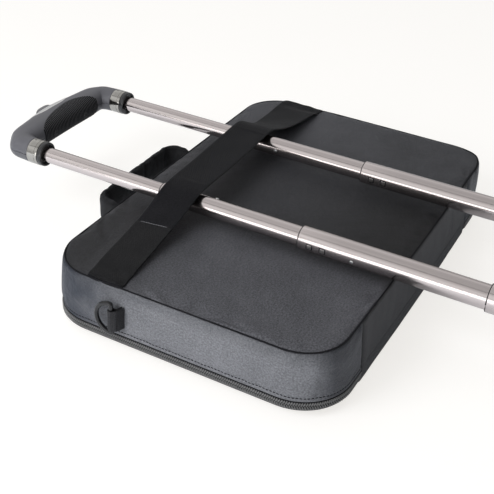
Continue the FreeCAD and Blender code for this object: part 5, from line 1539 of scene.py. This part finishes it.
def bar_point(x, th_, off_=0.0):
    yo = np.interp(x, outer_o[half_mask, 0], outer_o[half_mask, 1])
    c = (GY0 + yo) / 2; h = (yo - GY0) / 2; n_ = 2.55
    ct, st = np.cos(th_), np.sin(th_)
    y = c + h * np.sign(ct) * np.abs(ct) ** (2 / n_); z = TZ + 12.9 * np.sign(st) * np.abs(st) ** (2 / n_)
    # outward direction of the section
    gy = np.sign(ct) * np.abs(ct) ** (2 - 2 / n_) / h; gz = np.sign(st) * np.abs(st) ** (2 - 2 / n_) / 12.9
    g = np.sqrt(gy ** 2 + gz ** 2) + 1e-9
    return y + off_ * gy / g, z + off_ * gz / g


xs = np.linspace(px0, px1, nu_)
th_hi0, th_lo0 = math.radians(74), math.radians(262)
Vv = np.zeros((nu_ * nv_, 3))
for a, x in enumerate(xs):
    e = min(1.0, abs(x - cxp) / hxp)
    k = (1 - e ** 3.2) ** (1 / 2.2)
    mid_ = math.radians(172)
    t0 = mid_ + (th_hi0 + math.radians(13) - math.radians(14) * (x / 50.0) - mid_) * k; t1 = mid_ + (th_lo0 - mid_) * k
    ths = np.linspace(t0, t1, nv_)
    edge_ = np.minimum(np.arange(nv_), np.arange(nv_)[::-1]) / 2.0
    ef = np.clip(edge_, 0, 1) * min(1.0, (hxp - abs(x - cxp)) / 1.2)
    rib = 0.8 * (0.5 + 0.5 * math.cos(2 * math.pi * x / 2.35)) ** 0.8
    off_ = -0.5 + ef * (0.62 + rib)
    y, z = bar_point(x, ths, off_)
    Vv[a * nv_:(a + 1) * nv_] = np.c_[np.full(nv_, x), y, z]
o_ = add("grip_pad_ribbed", Vv, grid(nu_, nv_), M_PAD, "upper_stage", ("grip_pad",)); fix_normals(o_)
if sum(p.normal[1] * p.area for p in o_.data.polygons) > 0:
    o_.data.flip_normals()
sd_ = o_.modifiers.new("solid", "SOLIDIFY"); sd_.thickness = 0.8 * MM; sd_.offset = -1
# pale trim round the button on the outer face
nu2, nv2 = 90, 24
Vv = np.zeros((nu2 * nv2, 3))
for a, x in enumerate(np.linspace(-33, 33, nu2)):
    k = (1 - min(1.0, abs(x) / 33.0) ** 3.5) ** (1 / 2.4)
    ths = np.linspace(-math.radians(58) * k, math.radians(80) * k, nv2)
    ed = np.clip(np.minimum(np.arange(nv2), np.arange(nv2)[::-1]) / 1.0, 0, 1) * min(1.0, (33 - abs(x)) / 0.8)
    y, z = bar_point(x, ths, -0.4 + 0.75 * ed)
    Vv[a * nv2:(a + 1) * nv2] = np.c_[np.full(nv2, x), y, z]
o_ = add("grip_trim", Vv, grid(nu2, nv2), M_TRIM, "upper_stage"); fix_normals(o_)
if sum(p.normal[1] * p.area for p in o_.data.polygons) < 0:
    o_.data.flip_normals()
sd_ = o_.modifiers.new("solid", "SOLIDIFY"); sd_.thickness = 0.6 * MM; sd_.offset = -1
# button: domed cap
lo_, hi_ = nbox("release_button"); bw, bh = hi_[0], (hi_[2] - lo_[2]) / 2; by = hi_[1]
nb1, nb2 = 14, 48
Vv = []
for i in range(nb1 + 1):
    f = i / nb1
    rr = math.cos(f * math.pi / 2) if i < nb1 else 0.0
    hh = math.sin(f * math.pi / 2)
    for k in range(nb2):
        a = 2 * math.pi * k / nb2
        e = 0.62
        qx = math.copysign(abs(math.cos(a)) ** e, math.cos(a)); qz = math.copysign(abs(math.sin(a)) ** e, math.sin(a))
        rs = max(rr ** 0.42 if rr > 0 else 0.0, 0.004)
        Vv.append((bw * qx * rs, by - 5.0 + 8.0 * hh, TZ + (bh + 2.6 if qz > 0 else bh) * qz * rs))
base_ = [(x, by - 24.0, z) for x, y, z in Vv[:nb2]]
Vv = base_ + Vv
Ff = grid(nb1 + 2, nb2, closed_c=True); Ff.append(list(range(nb2))); Ff.append(list(range((nb1 + 1) * nb2, (nb1 + 2) * nb2))[::-1])
o_ = add("release_button_cap", Vv, Ff, M_BUTTON, "release", ("release_button",)); fix_normals(o_); subsurf(o_)

# rings and collars on the tube ends
for sg, side in ((-1, "left"), (1, "right")):
    Vv, Ff, Uu = lathe(sg * TX, TZ, [(8.3, 247.5), (12.5, 247.5), (12.9, 247.75), (13.0, 248.2), (13.0, 250.6), (12.7, 250.75), (12.7, 251.1), (13.0, 251.25), (13.0, 256.5), (13.0, 259.4), (12.9, 259.85), (12.4, 260.1), (8.3, 260.1)], 96)
    o_ = add("chrome_ring_" + side, Vv, Ff, M_CHROME, "upper_stage", ("chrome_rings",) if sg < 0 else (), uv=Uu); fix_normals(o_)
    em = o_.modifiers.new("es", "EDGE_SPLIT"); em.split_angle = math.radians(35)
    Vv, Ff, Uu = lathe(sg * TX, TZ, [(8.15, 247.3), (8.15, 245.0), (10.6, 244.7), (10.8, 243.1), (11.1, 242.65), (11.8, 242.5), (12.35, 242.7), (12.6, 243.4), (12.7, 244.8), (12.7, 247.0), (12.4, 247.3)], 96)
    o_ = add("end_collar_" + side, Vv, Ff, M_COLLAR, "upper_stage", ("end_collars",) if sg < 0 else (), uv=Uu); fix_normals(o_)
    em = o_.modifiers.new("es", "EDGE_SPLIT"); em.split_angle = math.radians(45)
    # small dark dot on top of the ring
    n_ = 20; Vv = []
    for r, h in ((0.0, 13.06), (0.75, 13.06), (0.85, 12.9)):
        for k in range(n_):
            a = 2 * math.pi * k / n_
            q = (max(r, 0.01) * math.cos(a), max(r, 0.01) * math.sin(a))
            Vv.append((sg * TX + q[0], 256.6 + q[1], TZ + math.sqrt(h * h - q[0] ** 2)))
    Ff = grid(3, n_, closed_c=True); Ff.append(list(range(n_))); Ff.append(list(range(2 * n_, 3 * n_))[::-1])
    o_ = add("ring_dot_" + side, Vv, Ff, M_BLACK, "upper_stage"); fix_normals(o_)

# screws in the grip
for j, x in enumerate((-26.0, 26.0)):
    prof = [(0.001, 268.9), (1.05, 268.9), (1.15, 268.0), (2.5, 267.75), (2.95, 268.05), (3.05, 268.9), (3.3, 268.4), (3.7, 268.2), (3.9, 268.6), (3.9, 270.2), (0.001, 270.2)]
    Vv, Ff, Uu = lathe(x, 80.3, prof[1:-1], 32)
    o_ = add("grip_screw_%d" % j, Vv, Ff, M_SCREW, "upper_stage", ("grip_screws",) if j == 0 else ()); fix_normals(o_)


# ------------------------------------------------------------------ floor, light
bpy.ops.mesh.primitive_plane_add(size=14, location=(0, 0, 0))
floor = bpy.context.object; floor.name = "floor"
nbf = NB("floor_pale")
fo = nbf.obj(1.0)
fn = nbf.noise(fo, 3.0, 2.0, 0.5)
nbf.fin(Base_Color=nbf.mix(nbf.ramp(fn, 0.3, 0.7), (0.86, 0.88, 0.91), (0.88, 0.90, 0.93)), Roughness=0.8, Specular_IOR_Level=0.1)
em_ = nbf.n("ShaderNodeEmission", {"Color": (1.0, 0.975, 0.935), "Strength": FLOOR_E})
lp_ = nbf.n("ShaderNodeLightPath"); mx_ = nbf.n("ShaderNodeMixShader"); 
nbf.t.links.new(nbf.math("MULTIPLY", lp_.outputs["Is Camera Ray"], FLOOR_K), mx_.inputs[0])
nbf.t.links.new(nbf.b.outputs[0], mx_.inputs[1]); nbf.t.links.new(em_.outputs[0], mx_.inputs[2])
nbf.t.links.new(mx_.outputs[0], nbf.out.inputs[0])
floor.data.materials.append(nbf.m)
# the floor drops when the opened lid swings below it
probes = []
for i, (px, py) in enumerate(((-0.2, 0.145), (0.2, 0.145), (-0.2, 0.0), (0.2, 0.0))):
    e = bpy.data.objects.new("probe%d" % i, None); bpy.context.scene.collection.objects.link(e)
    e.location = (px, py, 0.0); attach(e, "front_lid"); probes.append(e)
fc = floor.driver_add("location", 2)
drv = fc.driver; drv.type = "SCRIPTED"
names = []
for i, e in enumerate(probes):
    v = drv.variables.new(); v.name = "z%d" % i; v.type = "TRANSFORMS"
    v.targets[0].id = e; v.targets[0].transform_type = "LOC_Z"; v.targets[0].transform_space = "WORLD_SPACE"
    names.append(v.name)
drv.expression = "min(0.0, %s) - 0.0002" % ", ".join("%s + 0.0001" % n for n in names)

w = bpy.data.worlds.new("w"); bpy.context.scene.world = w; w.use_nodes = True
wt = w.node_tree; wt.nodes.clear()
wo = wt.nodes.new("ShaderNodeOutputWorld"); bg = wt.nodes.new("ShaderNodeBackground")
tcw = wt.nodes.new("ShaderNodeTexCoord"); sx = wt.nodes.new("ShaderNodeSeparateXYZ")
wt.links.new(tcw.outputs["Generated"], sx.inputs[0])
cr = wt.nodes.new("ShaderNodeValToRGB"); wt.links.new(sx.outputs[2], cr.inputs[0])
els = cr.color_ramp.elements
els[0].position = 0.0; els[0].color = (WORLD[0],) * 3 + (1,)
els[1].position = 1.0; els[1].color = (WORLD[-1],) * 3 + (1,)
for p_, v_ in zip((0.16, 0.34, 0.60, 0.80), WORLD[1:-1]):
    e_ = els.new(p_); e_.color = (v_, v_, v_, 1)
dp = wt.nodes.new("ShaderNodeVectorMath"); dp.operation = "DOT_PRODUCT"; dp.inputs[1].default_value = (-0.35, 0.93, 0.0)
wt.links.new(tcw.outputs["Generated"], dp.inputs[0])
mr = wt.nodes.new("ShaderNodeMapRange"); wt.links.new(dp.outputs["Value"], mr.inputs[0])
mr.inputs[1].default_value = -1; mr.inputs[2].default_value = 1; mr.inputs[3].default_value = SIDE_LO; mr.inputs[4].default_value = SIDE_HI


def wmath(op, a, b=None):
    nd = wt.nodes.new("ShaderNodeMath"); nd.operation = op
    for i_, v_ in enumerate((a, b)):
        if v_ is None:
            continue
        if isinstance(v_, bpy.types.NodeSocket):
            wt.links.new(v_, nd.inputs[i_])
        else:
            nd.inputs[i_].default_value = v_
    return nd.outputs[0]


# narrow dark gap between two soft boxes, overhead and to the left
phi = wmath("ARCTAN2", sx.outputs[2], wmath("MULTIPLY", sx.outputs[0], -1.0))
dq = wmath("DIVIDE", wmath("SUBTRACT", phi, 1.178), 0.045)
gap_ = wmath("SUBTRACT", 1.0, wmath("MULTIPLY", wmath("EXPONENT", wmath("MULTIPLY", wmath("MULTIPLY", dq, dq), -1.0)), 0.8))
wt.links.new(cr.outputs[0], bg.inputs[0]); wt.links.new(wmath("MULTIPLY", mr.outputs[0], gap_), bg.inputs[1])
wt.links.new(bg.outputs[0], wo.inputs[0])


def area(name, loc, target, size, power, col=(1, 1, 1), sy=None):
    ld = bpy.data.lights.new(name, "AREA"); ld.energy = power; ld.size = size; ld.color = col
    if sy:
        ld.shape = "RECTANGLE"; ld.size_y = sy
    o = bpy.data.objects.new(name, ld); bpy.context.scene.collection.objects.link(o)
    o.location = loc
    o.rotation_euler = (Vector(target) - Vector(loc)).to_track_quat("-Z", "Y").to_euler()
    return o


for l_ in (area("key", (-1.05, 0.55, 0.85), (-0.05, 0, 0.0), 0.7, 11.0), area("top", (0.1, 0.5, 2.2), (0, 0, 0), 1.4, 4)):
    l_.visible_glossy = False; l_.visible_camera = False
l_ = area("strip", (-1.6, 0.12, 0.28), (0, 0.12, 0.08), 1.9, 5.8, sy=0.52)
l_.visible_camera = False
vs = bpy.context.scene.view_settings
vs.view_transform = "Standard"; vs.look = "None"; vs.exposure = 0.0; vs.gamma = 1.0
